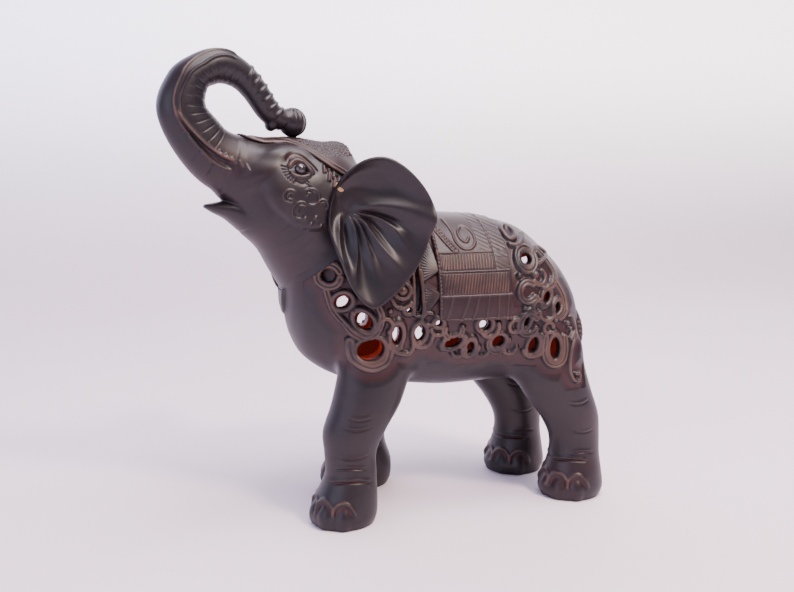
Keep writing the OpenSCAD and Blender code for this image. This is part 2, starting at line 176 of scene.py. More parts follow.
# Openings through each flank: x, z, half length, half width, turn
OPENINGS = {
    LEFT: [
        (-39.5, 135.5, 4.4, 3.8, 30), (-28, 124, 5.8, 4, -50), (-24, 107, 7.6, 6.2, 20),
        (-9, 115, 5.4, 3, 85),
        (-2, 129.8, 1.6, 1.4, 0), (4.8, 115.5, 4.6, 3.3, 85), (16, 121.3, 1.9, 1.7, 0), (26, 109, 5, 3, 20),
        (37, 105, 3.6, 2.2, 90), (44.5, 119, 3.9, 3.5, 0), (54.5, 108, 3.9, 3.5, 20),
        (72, 119.6, 3.2, 1.5, 70),
        (75, 156, 3.6, 3.2, 0), (78, 104, 5, 3, 80), (86, 133, 3.6, 2.3, 60), (92.2, 101.4, 6.4, 3.4, 90),
        (94, 126, 3.4, 2.2, 60),
    ],
    RIGHT: [
        (-39.5, 135.5, 4.4, 3.8, 30), (-21, 122, 5.2, 4.4, 0), (-8.5, 110.5, 4.4, 3.6, 60),
        (4.8, 121, 3.4, 2.8, 85),
        (14.6, 99, 5.4, 3.2, 85), (26, 114, 2.4, 2.2, 0), (31.4, 99, 4.8, 3.6, 85), (46.8, 104, 3.2, 2.8, 0),
        (64, 112, 3.9, 3.4, 0), (80, 101.5, 4.4, 3.8, 0), (75, 156, 3.6, 3.2, 0), (86, 133, 3.6, 2.3, 60),
        (94, 126, 3.4, 2.2, 60), (102, 149, 3.6, 3.2, 0),
    ],
}

# Carved scrolls on the flanks. Arcs: x, z, radius, from, to, half width
SCROLL_ARCS = [
    (-46.6, 150, 6.4, 20, 350, 2.2), (24.8, 117.3, 5.6, 178, 362, 2.0), (47.9, 117, 5.6, 150, 380, 1.5),
    (54.5, 107.5, 6.6, 170, 370, 1.8), (37, 104, 5.2, 170, 370, 1.5), (16, 118.5, 4.6, 190, 350, 1.3),
    (30, 104, 4.5, 180, 360, 1.2), (45, 103, 4.4, 180, 350, 1.2), (63, 103.5, 4.4, 150, 350, 1.3),
    (75, 156, 6.7, -20, 335, 2.2), (72.8, 137.1, 5.7, 50, 325, 2.2), (73.1, 117.5, 6.2, 30, 330, 2.2),
    (64.3, 117, 4.0, 60, 330, 1.4), (87, 114.6, 3.2, 0, 300, 1.3), (82, 145, 4.4, 200, 420, 1.5),
    (86, 124.5, 5.4, 180, 380, 1.4), (79.5, 128, 3.6, 0, 250, 1.3), (-16, 121, 4.2, -60, 200, 1.4),
    (9.5, 124, 3.8, 60, 330, 1.3), (-6, 141, 4.6, 80, 420, 1.4), (69, 172, 4.2, 0, 400, 1.2),
    (78, 103, 6.4, 200, 340, 1.4),
]
# Free lines: half width, then the places they pass through
SCROLL_LINES = [
    (2.2, [(-38, 122), (-33.6, 116.6), (-27, 113.8), (-20.6, 117.6), (-18.2, 126), (-19.8, 132)]),
    (2.8, [(-35.5, 112), (-33.2, 101.5), (-24.5, 96.6), (-15.6, 100), (-12.8, 108.6)]),
    (2.0, [(-48, 141.5), (-44.5, 130), (-38, 122)]),
    (1.5, [(-14, 109.5), (-9, 105), (-2, 103.4), (1.2, 107), (1, 112)]),
    (1.5, [(1, 109.6), (5, 107), (11, 108), (12.8, 113.5)]),
    (1.3, [(-13, 138), (-10, 132.4), (-5, 131), (-1, 134)]),
    (1.2, [(81.5, 160), (87, 162.4), (95, 158), (88, 154.6), (82, 152.6)]),
    (2.2, [(86, 160), (91, 154.4), (95.4, 146), (92.6, 140.4), (88.4, 139)]),
    (2.4, [(93.6, 142), (99.4, 132.6), (100.2, 123.6), (96, 120)]),
    (2.2, [(85.4, 109), (85, 99.4), (87.6, 93), (92.4, 90.8), (97.2, 93), (99.4, 99.4), (99.2, 107.6)]),
    (1.2, [(109, 108), (104, 99.6), (102.4, 88), (105.2, 81), (109.4, 79.6), (110.4, 83.2), (107.4, 84)]),
    (1.3, [(106, 119), (108.4, 111), (104.4, 106)]),
    (1.2, [(66, 165), (71, 164), (76, 166), (81, 170)]),
    (0.9, [(1, 152), (0.6, 140), (1, 128), (3.5, 126), (6.2, 128), (6.4, 140), (6, 152)]),
]
# Beads: x, z, radius
BEADS = [
    (-7.6, 131.4, 1.7), (-6.4, 107.6, 1.4), (5.1, 109.8, 1.3), (10.4, 106.6, 1.2), (37.5, 99, 1.3),
    (42.4, 100, 1.2),
    (61.7, 107.5, 1.4), (60.2, 101, 1.2), (65.8, 99.6, 1.2), (92.1, 118.6, 1.4), (101.5, 115.9, 1.6),
    (90, 111.4, 1.3),
    (78.6, 146.7, 2.3), (-6, 141, 2.7), (67.5, 147, 1.6), (84, 139, 1.4), (-34, 129.4, 1.4),
    (-13.4, 129.6, 1.5),
    (30, 113.6, 1.3), (51.5, 113, 1.3), (82.6, 110.6, 1.3), (104, 112.4, 1.3), (70, 127.6, 1.5),
    (19.6, 111, 1.3),
]
# The pleated fans ahead of the saddle: middle, heights of the first and last pleat, count
FANS = [((16.4, 151.5), 146, 172, 14), ((16.8, 138.1), 126.5, 145, 11)]
FAN_EDGE = [(13, 173), (7.5, 164), (4.9, 155), (6, 145), (7.4, 126)]


# ---------- curves ----------
def between_rows(a, b, c, d, t):
    """Smooth course from b to c, where a comes before them and d after them."""
    return 0.5 * (2 * b + (c - a) * t + (2 * a - 5 * b + 4 * c - d) * t ** 2
                  + (3 * b - a - 3 * c + d) * t ** 3)


def along(rows, u):
    """Smooth course through the rows, at places u counted in rows."""
    rows = np.asarray(rows, float)
    last = len(rows) - 1
    u = np.asarray(u, float)
    i = np.clip(np.floor(u).astype(int), 0, last - 1)
    near = [rows[np.clip(i + k, 0, last)] for k in (-1, 0, 1, 2)]
    return between_rows(*near, (u - i)[..., None])


def round_course(rows, u):
    """The same on a closed course, where u runs from 0 to the number of rows."""
    rows = np.asarray(rows, float)
    i = np.floor(u).astype(int)
    near = [rows[(i + k) % len(rows)] for k in (-1, 0, 1, 2)]
    return between_rows(*near, (u - i)[..., None])


def smooth_line(points, per_gap=8):
    u = np.linspace(0, len(points) - 1, (len(points) - 1) * per_gap + 1)
    return along(points, u)


def arc(x, z, radius, start, end):
    """Arc in the (x, z) plane. Angles in degrees, from +x towards +z."""
    angle = np.radians(np.linspace(start, end, max(6, int(abs(end - start) / 14))))
    return np.stack([x + radius * np.cos(angle), z + radius * np.sin(angle)], 1)


def oval(dx, dz, tall, wide, turn):
    """1 on the outline of a turned oval and less inside it, at places from its middle."""
    t = math.radians(turn)
    p = (dx * math.cos(t) + dz * math.sin(t)) / tall
    q = (dz * math.cos(t) - dx * math.sin(t)) / wide
    return np.hypot(p, q)


def near_line(flat, line, reach):
    """Which (n, 2) points lie within reach of a line's box."""
    line = np.asarray(line, float)
    low, high = line.min(0) - reach, line.max(0) + reach
    return np.flatnonzero(((flat > low) & (flat < high)).all(1))


def line_distance(points, line):
    """Distance of (n, 2) points from a line of points, and how far along it they lie, 0..1."""
    line = np.asarray(line, float)
    best = np.full(len(points), 1e9)
    share = np.zeros(len(points))
    count = len(line) - 1
    for i in range(count):
        a, d = line[i], line[i + 1] - line[i]
        t = np.clip(((points - a) @ d) / (d @ d), 0, 1)
        gap = np.hypot(*(points - a - t[:, None] * d).T)
        near = gap < best
        best[near] = gap[near]
        share[near] = ((i + t) / count)[near]
    return best, share


def ease(x, low, high):
    t = np.clip((x - low) / (high - low), 0, 1)
    return t * t * (3 - 2 * t)


def band(x, low, high, edge):
    """1 from low to high, with eased edges."""
    return ease(x, low, low + edge) * (1 - ease(x, high, high + edge))


# ---------- solids as distance fields ----------
class Block:
    """A box of points, step apart, on which solids are worked out."""

    def __init__(self, low, high, step):
        self.low = np.array(low, float)
        self.step = step
        count = np.ceil((np.array(high, float) - self.low) / step).astype(int) + 1
        self.axes = [self.low[i] + step * np.arange(count[i]) for i in range(3)]
        self.x = self.axes[0].astype(np.float32)[:, None, None]
        self.y = self.axes[1].astype(np.float32)[None, :, None]
        self.z = self.axes[2].astype(np.float32)[None, None, :]

    def sample(self, field, points):
        """Values of a field on the block at (n, 3) points."""
        f = (points - self.low) / self.step
        i = np.clip(np.floor(f).astype(int), 0, np.array(field.shape) - 2)
        t = np.clip(f - i, 0, 1)
        total = 0
        for dx in (0, 1):
            for dy in (0, 1):
                for dz in (0, 1):
                    w = (np.where(dx, t[:, 0], 1 - t[:, 0]) * np.where(dy, t[:, 1], 1 - t[:, 1])
                         * np.where(dz, t[:, 2], 1 - t[:, 2]))
                    total = total + w * field[i[:, 0] + dx, i[:, 1] + dy, i[:, 2] + dz]
        return total


class Form:
    """Where each (x, z) of a block lies in a swept form."""

    def __init__(self, stations, block, reach=1.8, per_gap=110):
        s = np.array(stations, float)
        last = len(s) - 1
        u = np.linspace(-0.8, last + 0.8, (last + 2) * per_gap)
        rows = self.stations_at(s, u)
        over = (u - np.clip(u, 0, last))[:, None]
        ends = np.where(over < 0, s[1] - s[0], s[-1] - s[-2])[:, :2]
        rows[:, :2] += over * ends
        a = np.linspace(-reach, reach, 420)
        a = a[np.argsort(-np.abs(a))]
        lean = np.radians(rows[:, 2])
        px = rows[:, 0] + a[:, None] * rows[:, 3] * np.cos(lean)
        pz = rows[:, 1] + a[:, None] * rows[:, 3] * np.sin(lean)
        ix = np.rint((px - block.low[0]) / block.step).astype(int)
        iz = np.rint((pz - block.low[2]) / block.step).astype(int)
        shape = (len(block.axes[0]), len(block.axes[2]))
        ok = (ix >= 0) & (ix < shape[0]) & (iz >= 0) & (iz < shape[1])
        found = np.full(shape, np.nan)
        found[ix[ok], iz[ok]] = np.broadcast_to(u, px.shape)[ok]
        here = ~np.isnan(found)
        gx, gz = np.meshgrid(block.axes[0], block.axes[2], indexing="ij")
        gx, gz, place = gx[here], gz[here], found[here]
        for _ in range(4):
            place = np.clip(place, 0, last)
            off, slope = self.off_disc(s, gx, gz, place)
            place = np.clip(place - np.clip(off / slope, -0.2, 0.2), 0, last)
        row = self.stations_at(s, place)
        lean = np.radians(row[:, 2])
        a = ((gx - row[:, 0]) * np.cos(lean) + (gz - row[:, 1]) * np.sin(lean)) / row[:, 3]
        off, _ = self.off_disc(s, gx, gz, place)
        off = np.where((place <= 1e-6) | (place >= last - 1e-6), np.abs(off), 0)
        self.across = self.spread(here, a, 9.0)
        self.place = self.spread(here, place, 0.0)
        self.tall = self.spread(here, row[:, 3], 10.0)
        self.wide = self.spread(here, row[:, 4], 10.0)
        self.mid = self.spread(here, row[:, 5], 0.0)
        self.beyond = self.spread(here, off, 99.0)

    @staticmethod
    def stations_at(s, u):
        return along(s, np.clip(u, 0, len(s) - 1))

    def off_disc(self, s, gx, gz, place):
        def off(p):
            row = self.stations_at(s, p)
            lean = np.radians(row[:, 2])
            return -(gx - row[:, 0]) * np.sin(lean) + (gz - row[:, 1]) * np.cos(lean)
        step = 0.004
        slope = (off(place + step) - off(place - step)) / (
            np.clip(place + step, 0, len(s) - 1) - np.clip(place - step, 0, len(s) - 1))
        slope = np.where(np.abs(slope) < 1e-3, 1e-3, slope)
        return off(place), slope

    @staticmethod
    def spread(here, values, rest):
        full = np.full(here.shape, rest, np.float32)
        full[here] = values
        return full

    def solid(self, block, side=1, grow=0.0):
        """Distance from the form's skin, below zero inside."""
        tall = (self.tall + grow)[:, None, :]
        wide = (self.wide + grow)[:, None, :]
        p = (self.across * self.tall)[:, None, :] / tall
        q = (block.y - side * self.mid[:, None, :]) / wide
        r = np.sqrt(p * p + q * q)
        g = np.sqrt((p / tall) ** 2 + (q / wide) ** 2)
        d = r * (r - 1) / np.maximum(g, 1e-4)
        beyond = self.beyond[:, None, :]
        return np.where(beyond > 0, np.hypot(np.maximum(d, 0), beyond), d).astype(np.float32)

    def at(self, block, points, name):
        """A map's values at (n, 3) points."""
        grid = getattr(self, name)[:, None, :]
        flat = np.concatenate([grid, grid], 1)
        p = points.copy()
        p[:, 1] = block.low[1]
        return block.sample(flat, p)


def blend(a, b, k):
    """Union of two solids with a fillet of about k."""
    h = np.clip(0.5 + 0.5 * (b - a) / k, 0, 1)
    return b + (a - b) * h - k * h * (1 - h)


def carve(a, b, k):
    """Solid a without solid b, with the edge eased by k."""
    return -blend(-a, b, k)


def ball(block, centre, radii):
    q = [(axis - c) / r for axis, c, r in zip((block.x, block.y, block.z), centre, radii)]
    r = np.sqrt(q[0] ** 2 + q[1] ** 2 + q[2] ** 2)
    return ((r - 1) * min(radii)).astype(np.float32)


def above(block, plane):
    """Signed distance over a plane given as x, z and its lean."""
    lean = math.radians(plane[2])
    return -math.sin(lean) * (block.x - plane[0]) + math.cos(lean) * (block.z - plane[1])


CORNERS = [(i >> 2 & 1, i >> 1 & 1, i & 1) for i in range(8)]
EDGES = [(a, b) for a in range(8) for b in range(a + 1, 8)
         if sum(abs(p - q) for p, q in zip(CORNERS[a], CORNERS[b])) == 1]


def skin(block, d):
    """Mesh of the surface where a field is zero: points in mm and four-sided faces."""
    inside = d < 0
    n = [c - 1 for c in d.shape]
    total = np.zeros(n, np.int8)
    for c in CORNERS:
        total += inside[c[0]:c[0] + n[0], c[1]:c[1] + n[1], c[2]:c[2] + n[2]]
    active = (total > 0) & (total < 8)
    cells = np.argwhere(active)
    number = np.full(active.shape, -1, np.int32)
    number[active] = np.arange(len(cells))
    values = [d[cells[:, 0] + c[0], cells[:, 1] + c[1], cells[:, 2] + c[2]] for c in CORNERS]
    place = np.zeros((len(cells), 3))
    hits = np.zeros(len(cells))
    for a, b in EDGES:
        va, vb = values[a], values[b]
        cross = (va < 0) != (vb < 0)
        t = np.where(cross, va / np.where(cross, va - vb, 1), 0)[:, None]
        start, end = np.array(CORNERS[a]), np.array(CORNERS[b])
        place += np.where(cross[:, None], start + t * (end - start), 0)
        hits += cross
    points = block.low + block.step * (cells + place / hits[:, None])
    faces = []
    for axis in range(3):
        one, two = (axis + 1) % 3, (axis + 2) % 3
        here = [slice(1, -1)] * 3
        there = [slice(1, -1)] * 3
        here[axis] = slice(0, -1)
        there[axis] = slice(1, None)
        first, second = inside[tuple(here)], inside[tuple(there)]
        spots = np.argwhere(first != second)
        offset = np.ones(3, int)
        offset[axis] = 0
        spots = spots + offset
        quad = []
        for p, q in ((-1, -1), (0, -1), (0, 0), (-1, 0)):
            cell = spots.copy()
            cell[:, one] += p
            cell[:, two] += q
            quad.append(number[cell[:, 0], cell[:, 1], cell[:, 2]])
        quad = np.stack(quad, 1)
        out = inside[spots[:, 0], spots[:, 1], spots[:, 2]]
        quad[~out] = quad[~out][:, ::-1]
        faces.append(quad)
    faces = np.concatenate(faces)
    return points, faces[(faces >= 0).all(1)]


# ---------- meshes ----------
def turned(points, angle):
    """Points turned about the neck's upright axis."""
    x, y = points[:, 0] - NECK_AXIS_X, points[:, 1]
    return np.stack([
        NECK_AXIS_X + x * np.cos(angle) - y * np.sin(angle),
        x * np.sin(angle) + y * np.cos(angle),
        points[:, 2],
    ], 1)


def turn_head(points):
    """Turns points of the head, the more the nearer they are to it."""
    lean = math.radians(NECK_PLANE[2])
    over = (-math.sin(lean) * (points[:, 0] - NECK_PLANE[0])
            + math.cos(lean) * (points[:, 2] - NECK_PLANE[1]))
    return turned(points, np.radians(HEAD_TURN) * ease(over, 0.0, 30.0))


def rigid_turn(points):
    return turned(points, math.radians(HEAD_TURN))


def stand(name, data):
    """Puts a mesh, a lamp or a camera in the scene."""
    obj = bpy.data.objects.new(name, data)
    bpy.context.scene.collection.objects.link(obj)
    return obj


def marks_of(crest, inner=None):
    """What the finishes read from a mesh: how far a point stands out, and how deep it lies."""
    return {"inner": np.zeros(len(crest)) if inner is None else inner, "crest": crest}


def build(name, points, faces, finish, marks):
    """A mesh object from points in mm and faces that all have the same number of corners."""
    faces = np.asarray(faces)
    mesh = bpy.data.meshes.new(name)
    count, corners = faces.shape
    mesh.vertices.add(len(points))
    mesh.vertices.foreach_set("co", ((points + SHIFT) * MM).astype(np.float32).ravel())
    mesh.loops.add(count * corners)
    mesh.loops.foreach_set("vertex_index", faces.astype(np.int32).ravel())
    mesh.polygons.add(count)
    mesh.polygons.foreach_set("loop_start", np.arange(count, dtype=np.int32) * corners)
    mesh.polygons.foreach_set("use_smooth", np.full(count, True))
    mesh.update(calc_edges=True)
    mesh.validate()
    for key, values in marks.items():
        layer = mesh.attributes.new(key, "FLOAT", "POINT")
        layer.data.foreach_set("value", np.asarray(values, np.float32))
    mesh.materials.append(finish)
    return stand(name, mesh)


def normals_of(points, faces):
    a, b, c = points[faces[:, 0]], points[faces[:, 1]], points[faces[:, 2]]
    n = np.cross(b - a, c - a)
    if faces.shape[1] == 4:
        n += np.cross(c - a, points[faces[:, 3]] - a)
    total = np.zeros_like(points)
    for k in range(faces.shape[1]):
        for axis in range(3):
            total[:, axis] += np.bincount(faces[:, k], n[:, axis], len(points))
    return total / np.maximum(np.linalg.norm(total, axis=1, keepdims=True), 1e-12)


def edge_pairs(faces):
    k = faces.shape[1]
    pairs = np.concatenate([faces[:, [i, (i + 1) % k]] for i in range(k)])
    pairs = np.sort(pairs, 1)
    return pairs[pairs[:, 0] != pairs[:, 1]]


def neighbour_mean(values, pairs):
    n = len(values)
    total = (np.bincount(pairs[:, 0], values[pairs[:, 1]], n)
             + np.bincount(pairs[:, 1], values[pairs[:, 0]], n))
    count = np.bincount(pairs[:, 0], minlength=n) + np.bincount(pairs[:, 1], minlength=n)
    return total / np.maximum(count, 1)


def middle_of_neighbours(points, pairs):
    return np.stack([neighbour_mean(points[:, i], pairs) for i in range(3)], 1)


def crests(points, faces, rounds, size):
    """How sharply each point stands out, 1 on a crest and -1 in a hollow."""
    pairs = edge_pairs(faces)
    normals = normals_of(points, faces)
    mean = middle_of_neighbours(points, pairs)
    height = ((points - mean) * normals).sum(1)
    for _ in range(rounds):
        height = 0.5 * height + 0.5 * neighbour_mean(height, pairs)
    return np.clip(height / size, -1, 1)


def finer(points, faces):
    """Each face parted into four, once."""
    k = faces.shape[1]
    pairs = np.concatenate([faces[:, [i, (i + 1) % k]] for i in range(k)])
    unique, inverse = np.unique(np.sort(pairs, 1), axis=0, return_inverse=True)
    inverse = inverse.reshape(k, len(faces)).T
    middles = points[unique].mean(1)
    centres = points[faces].mean(1)
    first = len(points)
    second = first + len(middles)
    whole = np.concatenate([points, middles, centres])
    centre = second + np.arange(len(faces))
    parts = [np.stack([faces[:, i], first + inverse[:, i], centre, first + inverse[:, i - 1]], 1)
             for i in range(k)]
    parts = np.concatenate(parts)
    whole = 0.6 * whole + 0.4 * middle_of_neighbours(whole, edge_pairs(parts))
    return whole, parts


def fine_skin(block, d, rounds):
    points, faces = skin(block, d)
    for _ in range(rounds):
        points, faces = finer(points, faces)
    return points, faces, normals_of(points, faces)


def cut_piece(name, source, planes, finish, room=None):
    """A piece of a mesh: what lies behind each plane (point, outward normal), in mm.

    Cuts are filled where the fill can follow their rim, so a glue face may stay open.
    room gives the distance of (n, 3) places from the wood, so that no cut closes a hollow."""
    bm = bmesh.new()
    bm.from_mesh(source.data)
    for point, normal in planes:
        where = Vector((np.array(point, float) + SHIFT) * MM)
        geometry = bm.verts[:] + bm.edges[:] + bm.faces[:]
        made = bmesh.ops.bisect_plane(bm, geom=geometry, dist=1e-7, plane_co=where,
                                      plane_no=Vector(normal), clear_outer=True)
        rim = [e for e in made["geom_cut"] if isinstance(e, bmesh.types.BMEdge)]
        if rim:
            filled = bmesh.ops.triangle_fill(bm, use_beauty=False, edges=rim, normal=Vector(normal))
            lids = [f for f in filled["geom"] if isinstance(f, bmesh.types.BMFace)]
            for f in lids:
                f.smooth = False
            if room is not None and lids:
                middles = np.array([f.calc_center_median() for f in lids]) / MM - SHIFT
                empty = room(middles) > 0.05
                bmesh.ops.delete(bm, geom=[f for f, e in zip(lids, empty) if e], context="FACES_ONLY")
            for e in rim:
                if e.is_valid:
                    e.smooth = False
    mesh = bpy.data.meshes.new(name)
    bm.to_mesh(mesh)
    bm.free()
    mesh.materials.append(finish)
    return stand(name, mesh)


def shell(outer, inner):
    """Closed mesh between two (u, v, 3) grids: the outer one, the inner one and four walls."""
    nu, nv = outer.shape[:2]
    points = np.concatenate([outer.reshape(-1, 3), inner.reshape(-1, 3)])
    half = nu * nv
    i, j = np.meshgrid(np.arange(nu - 1), np.arange(nv - 1), indexing="ij")
    a = (i * nv + j).ravel()
    top = np.stack([a, a + nv, a + nv + 1, a + 1], 1)
    low = top[:, ::-1] + half
    walls = []
    i = np.arange(nu - 1)
    j = np.arange(nv - 1)
    for edge, flip in (((i * nv, (i + 1) * nv), True),
                       ((i * nv + nv - 1, (i + 1) * nv + nv - 1), False),
                       ((j, j + 1), False),
                       (((nu - 1) * nv + j, (nu - 1) * nv + j + 1), True)):
        p, q = edge
        wall = np.stack([p, q, q + half, p + half], 1)
        walls.append(wall[:, ::-1] if flip else wall)
    return points, np.concatenate([top, low] + walls)


# ---------- finishes ----------
class Term:
    """A shader value. An expression on it adds Math nodes to its finish."""

    def __init__(self, finish, socket):
        self.finish = finish
        self.socket = socket

    def math(self, operation, *values):
        return self.finish.node("ShaderNodeMath", {"operation": operation}, *values)

    def __add__(self, other):
        return self.math("ADD", self, other)

    def __mul__(self, other):
        return self.math("MULTIPLY", self, other)

    __radd__ = __add__
    __rmul__ = __mul__

    def between(self, low, high):
        """0 at low, 1 at high, eased."""
        return self.finish.node("ShaderNodeMapRange", {"interpolation_type": "SMOOTHSTEP"},
                                self, low, high, 0.0, 1.0)


class Finish:
    """One material and the nodes it is made of."""

    def __init__(self, name):
        self.material = bpy.data.materials.new(name)
        self.material.use_nodes = True
        self.tree = self.material.node_tree
        self.shader = self.tree.nodes["Principled BSDF"]
        self.place = self.node("ShaderNodeTexCoord", {}, out="Object")

    def put(self, socket, value):
        if isinstance(value, Term):
            self.tree.links.new(value.socket, socket)
        elif isinstance(value, (tuple, list)) and len(value) == 3 and socket.type == "RGBA":
            socket.default_value = (*value, 1.0)
        else:
            socket.default_value = value

    def node(self, kind, settings, *values, out=0, **named):
        """Adds a node: its settings first, then its sockets in order or by name."""
        made = self.tree.nodes.new(kind)
        for key, value in settings.items():
            setattr(made, key, value)
        for socket, value in zip(made.inputs, values):
            if value is not None:
                self.put(socket, value)
        for key, value in named.items():
            self.put(made.inputs[key.replace("_", " ")], value)
        return Term(self, made.outputs[out])

    def mix(self, share, low, high):
        made = self.tree.nodes.new("ShaderNodeMix")
        made.data_type = "RGBA"
        self.put(made.inputs["Factor"], share)
        self.put(made.inputs[6], low)
        self.put(made.inputs[7], high)
        return Term(self, made.outputs[2])

    def mark(self, name):
        """A value painted on the mesh."""
        return self.node("ShaderNodeAttribute", {"attribute_name": name}, out="Fac")

    def scaled(self, factors):
        return self.node("ShaderNodeVectorMath", {"operation": "MULTIPLY"}, self.place, factors)

    def noise(self, scale, detail=3.0, rough=0.55, stretch=(1.0, 1.0, 1.0)):
        return self.node("ShaderNodeTexNoise", {}, self.scaled(stretch), Scale=scale,
                         Detail=detail, Roughness=rough, out="Fac")

    def set(self, **inputs):
        for key, value in inputs.items():
            self.put(self.shader.inputs[key.replace("_", " ")], value)

    def bump(self, height, strength, distance):
        return self.node("ShaderNodeBump", {}, Height=height, Strength=strength,
                         Distance=distance, out="Normal")


DARK = (0.0055, 0.0038, 0.0060)
BROWN = (0.0125, 0.0066, 0.0080)
RED = (0.040, 0.0065, 0.0055)
# Pale colour of the crests: partly rubbed wear, partly a painted highlight of the warm light
TAN = (0.125, 0.068, 0.048)
# Inner walls: the wood's own red, brightened as painted light shining through the openings
INNER_RED_PAINTED_LIT = (0.60, 0.05, 0.015)


def carved_wood(name, dark=DARK, brown=BROWN, crest_share=0.6, red_share=0.8, grain=1.0):
    """Stained, waxed wood: near black and red where it is hollow. Its crests are pale, partly from rubbed
    wear and partly a painted highlight, and its inner walls are painted bright red with a painted glow, as
    if lit through the openings.
    """
    f = Finish(name)
    crest = f.mark("crest")
    inner = f.mark("inner")
    cloud = f.noise(38.0, 4.0, 0.6)
    patch = f.noise(14.0, 3.0, 0.5, (1.0, 1.0, 1.4))
    fibre = f.noise(150.0, 3.0, 0.6, (0.18, 1.0, 1.0))
    base = f.mix((cloud * 0.7 + fibre * 0.3).between(0.35, 0.68), dark, brown)
    base = f.mix(patch.between(0.5, 0.75) * 0.5, base, (0.021, 0.0055, 0.0075))
    hollow = (crest * -1.0).between(0.15, 0.9) * red_share
    base = f.mix(hollow * (0.5 + cloud * 0.5), base, RED)
    # Pale crests: partly rubbed wear, partly a painted highlight
    wear_and_painted_highlight = crest.between(0.35, 1.0) * crest_share * cloud.between(0.3, 0.62)
    base = f.mix(wear_and_painted_highlight, base, TAN)
    # Inner walls painted bright red, as if lit through the openings: painted light over the wood's own red
    base = f.mix(inner, base, f.mix(cloud.between(0.3, 0.65), INNER_RED_PAINTED_LIT, (0.26, 0.016, 0.008)))
    fine = f.noise(520.0, 2.0, 0.5, (0.25, 1.0, 1.0))
    height = fibre * 0.7 + fine * 0.3
    # Painted glow: the inner walls emit red light, though no lamp is there
    glow = f.mix(inner, (0.0, 0.0, 0.0), (0.30, 0.024, 0.006))
    f.set(Base_Color=base, Roughness=0.37 + cloud * 0.14 + inner * 0.2, Emission_Color=glow,
          Normal=f.bump(height, 0.10 * grain, 0.0005))
    f.set(Specular_IOR_Level=0.36, Emission_Strength=0.14, Coat_Weight=0.05, Coat_Roughness=0.3)
    return f.material


def dowel_wood(name):
    f = Finish(name)
    fibre = f.noise(90.0, 3.0, 0.6, (1.0, 1.0, 0.12))
    base = f.mix(fibre.between(0.3, 0.7), (0.42, 0.26, 0.13), (0.30, 0.17, 0.08))
    f.set(Base_Color=base, Roughness=0.55 + fibre * 0.15, Normal=f.bump(fibre, 0.2, 0.0004))
    return f.material


def eye_gloss(name):
    f = Finish(name)
    cloud = f.noise(240.0, 3.0, 0.6)
    base = f.mix(cloud.between(0.35, 0.7), (0.012, 0.009, 0.012), (0.035, 0.022, 0.024))
    f.set(Base_Color=base, Roughness=0.2 + cloud * 0.12, Normal=f.bump(cloud, 0.05, 0.0003))
    f.set(Coat_Weight=0.5, Coat_Roughness=0.12)
    return f.material


WOOD = carved_wood("carved_wood")
CLOTH_WOOD = carved_wood("carved_cloth_wood", (0.013, 0.0055, 0.0068), (0.023, 0.0080, 0.0085), 0.6)
EAR_WOOD = carved_wood("carved_ear_wood", DARK, BROWN, 0.5, 0.1, 0.6)
DOWEL = dowel_wood("dowel_wood")
EYE = eye_gloss("eye_gloss")


def keep(obj, slot, *nodes):
    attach(obj, "root")
    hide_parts(*nodes)


# ---------- body ----------
BODY_STEP = 0.8
FINE_STEP = 0.6
DETAIL_ROUNDS = 1
WALL = 6.0

body_block = Block((-84, -64, 60), (142, 64, 214), BODY_STEP)


def leg_solid(block, name):
    stations, side, shift = LEGS[name]
    moved = [(x + shift, z, lean, tall, wide, y) for x, z, lean, tall, wide, y in stations]
    return Form(moved, block).solid(block, side)


def closed_body(block):
    """The body before it is hollowed and pierced."""
    d = Form(BARREL, block).solid(block)
    for name in LEGS:
        d = blend(d, leg_solid(block, name), 9.0)
    return blend(d, Form(NECK, block).solid(block), 16.0)


def opening_map(block, opening):
    """Distance from one opening's outline over the (x, z) grid."""
    x, z, tall, wide, turn = opening
    r = oval(block.x[:, :, 0] - x, block.z[0, :, :] - z, tall, wide, turn)
    return ((r - 1) * wide).astype(np.float32)


whole = closed_body(body_block)
hollow = Form(BARREL[3:-3], body_block).solid(body_block, 1, -WALL)
hollow = np.maximum(hollow, above(body_block, (NECK_PLANE[0] + 8, NECK_PLANE[1] - 12, 37.0)))
pierced = carve(whole, hollow, 1.5)


def recess(block, d, flat_map, depth, flank_map):
    """Sinks a shape of the (x, z) plane into both flanks, to a depth."""
    over = (flank_map - depth)[:, None, :] - np.abs(block.y)
    return carve(d, np.maximum(flat_map[:, None, :], over), 1.2)


for side in (LEFT, RIGHT):
    ways = np.min([opening_map(body_block, opening) for opening in OPENINGS[side]], 0)
    away = 14.0 - side * body_block.y
    pierced = carve(pierced, np.maximum(ways[:, None, :], away), 1.6)


def skin_reach(block, d):
    """How far a solid's skin stands from the middle plane over (x, z), on its nearer side."""
    both = []
    for order in (slice(None, None, -1), slice(None)):
        field, y = d[:, order], block.axes[1][order]
        inside = field < 0
        last = inside.shape[1] - 1 - np.argmax(inside[:, ::-1], 1)
        last = np.clip(last, 0, field.shape[1] - 2)
        i, k = np.meshgrid(np.arange(field.shape[0]), np.arange(field.shape[2]), indexing="ij")
        a, b = field[i, last, k], field[i, last + 1, k]
        t = np.clip(a / np.where(a == b, 1, a - b), 0, 1)
        place = y[last] + t * (y[last + 1] - y[last])
        both.append(np.abs(np.where(inside.any(1), place, 0.0)))
    return np.minimum(*both).astype(np.float32)


reach = skin_reach(body_block, whole)
ring_cup = opening_map(body_block, (-46.6, 150, 4.4, 4.4, 0))
slot = opening_map(body_block, (3.5, 139.8, 11.5, 1.9, 90))
pierced = recess(body_block, pierced, ring_cup, 5.0, reach)
pierced = recess(body_block, pierced, slot, 3.4, reach)


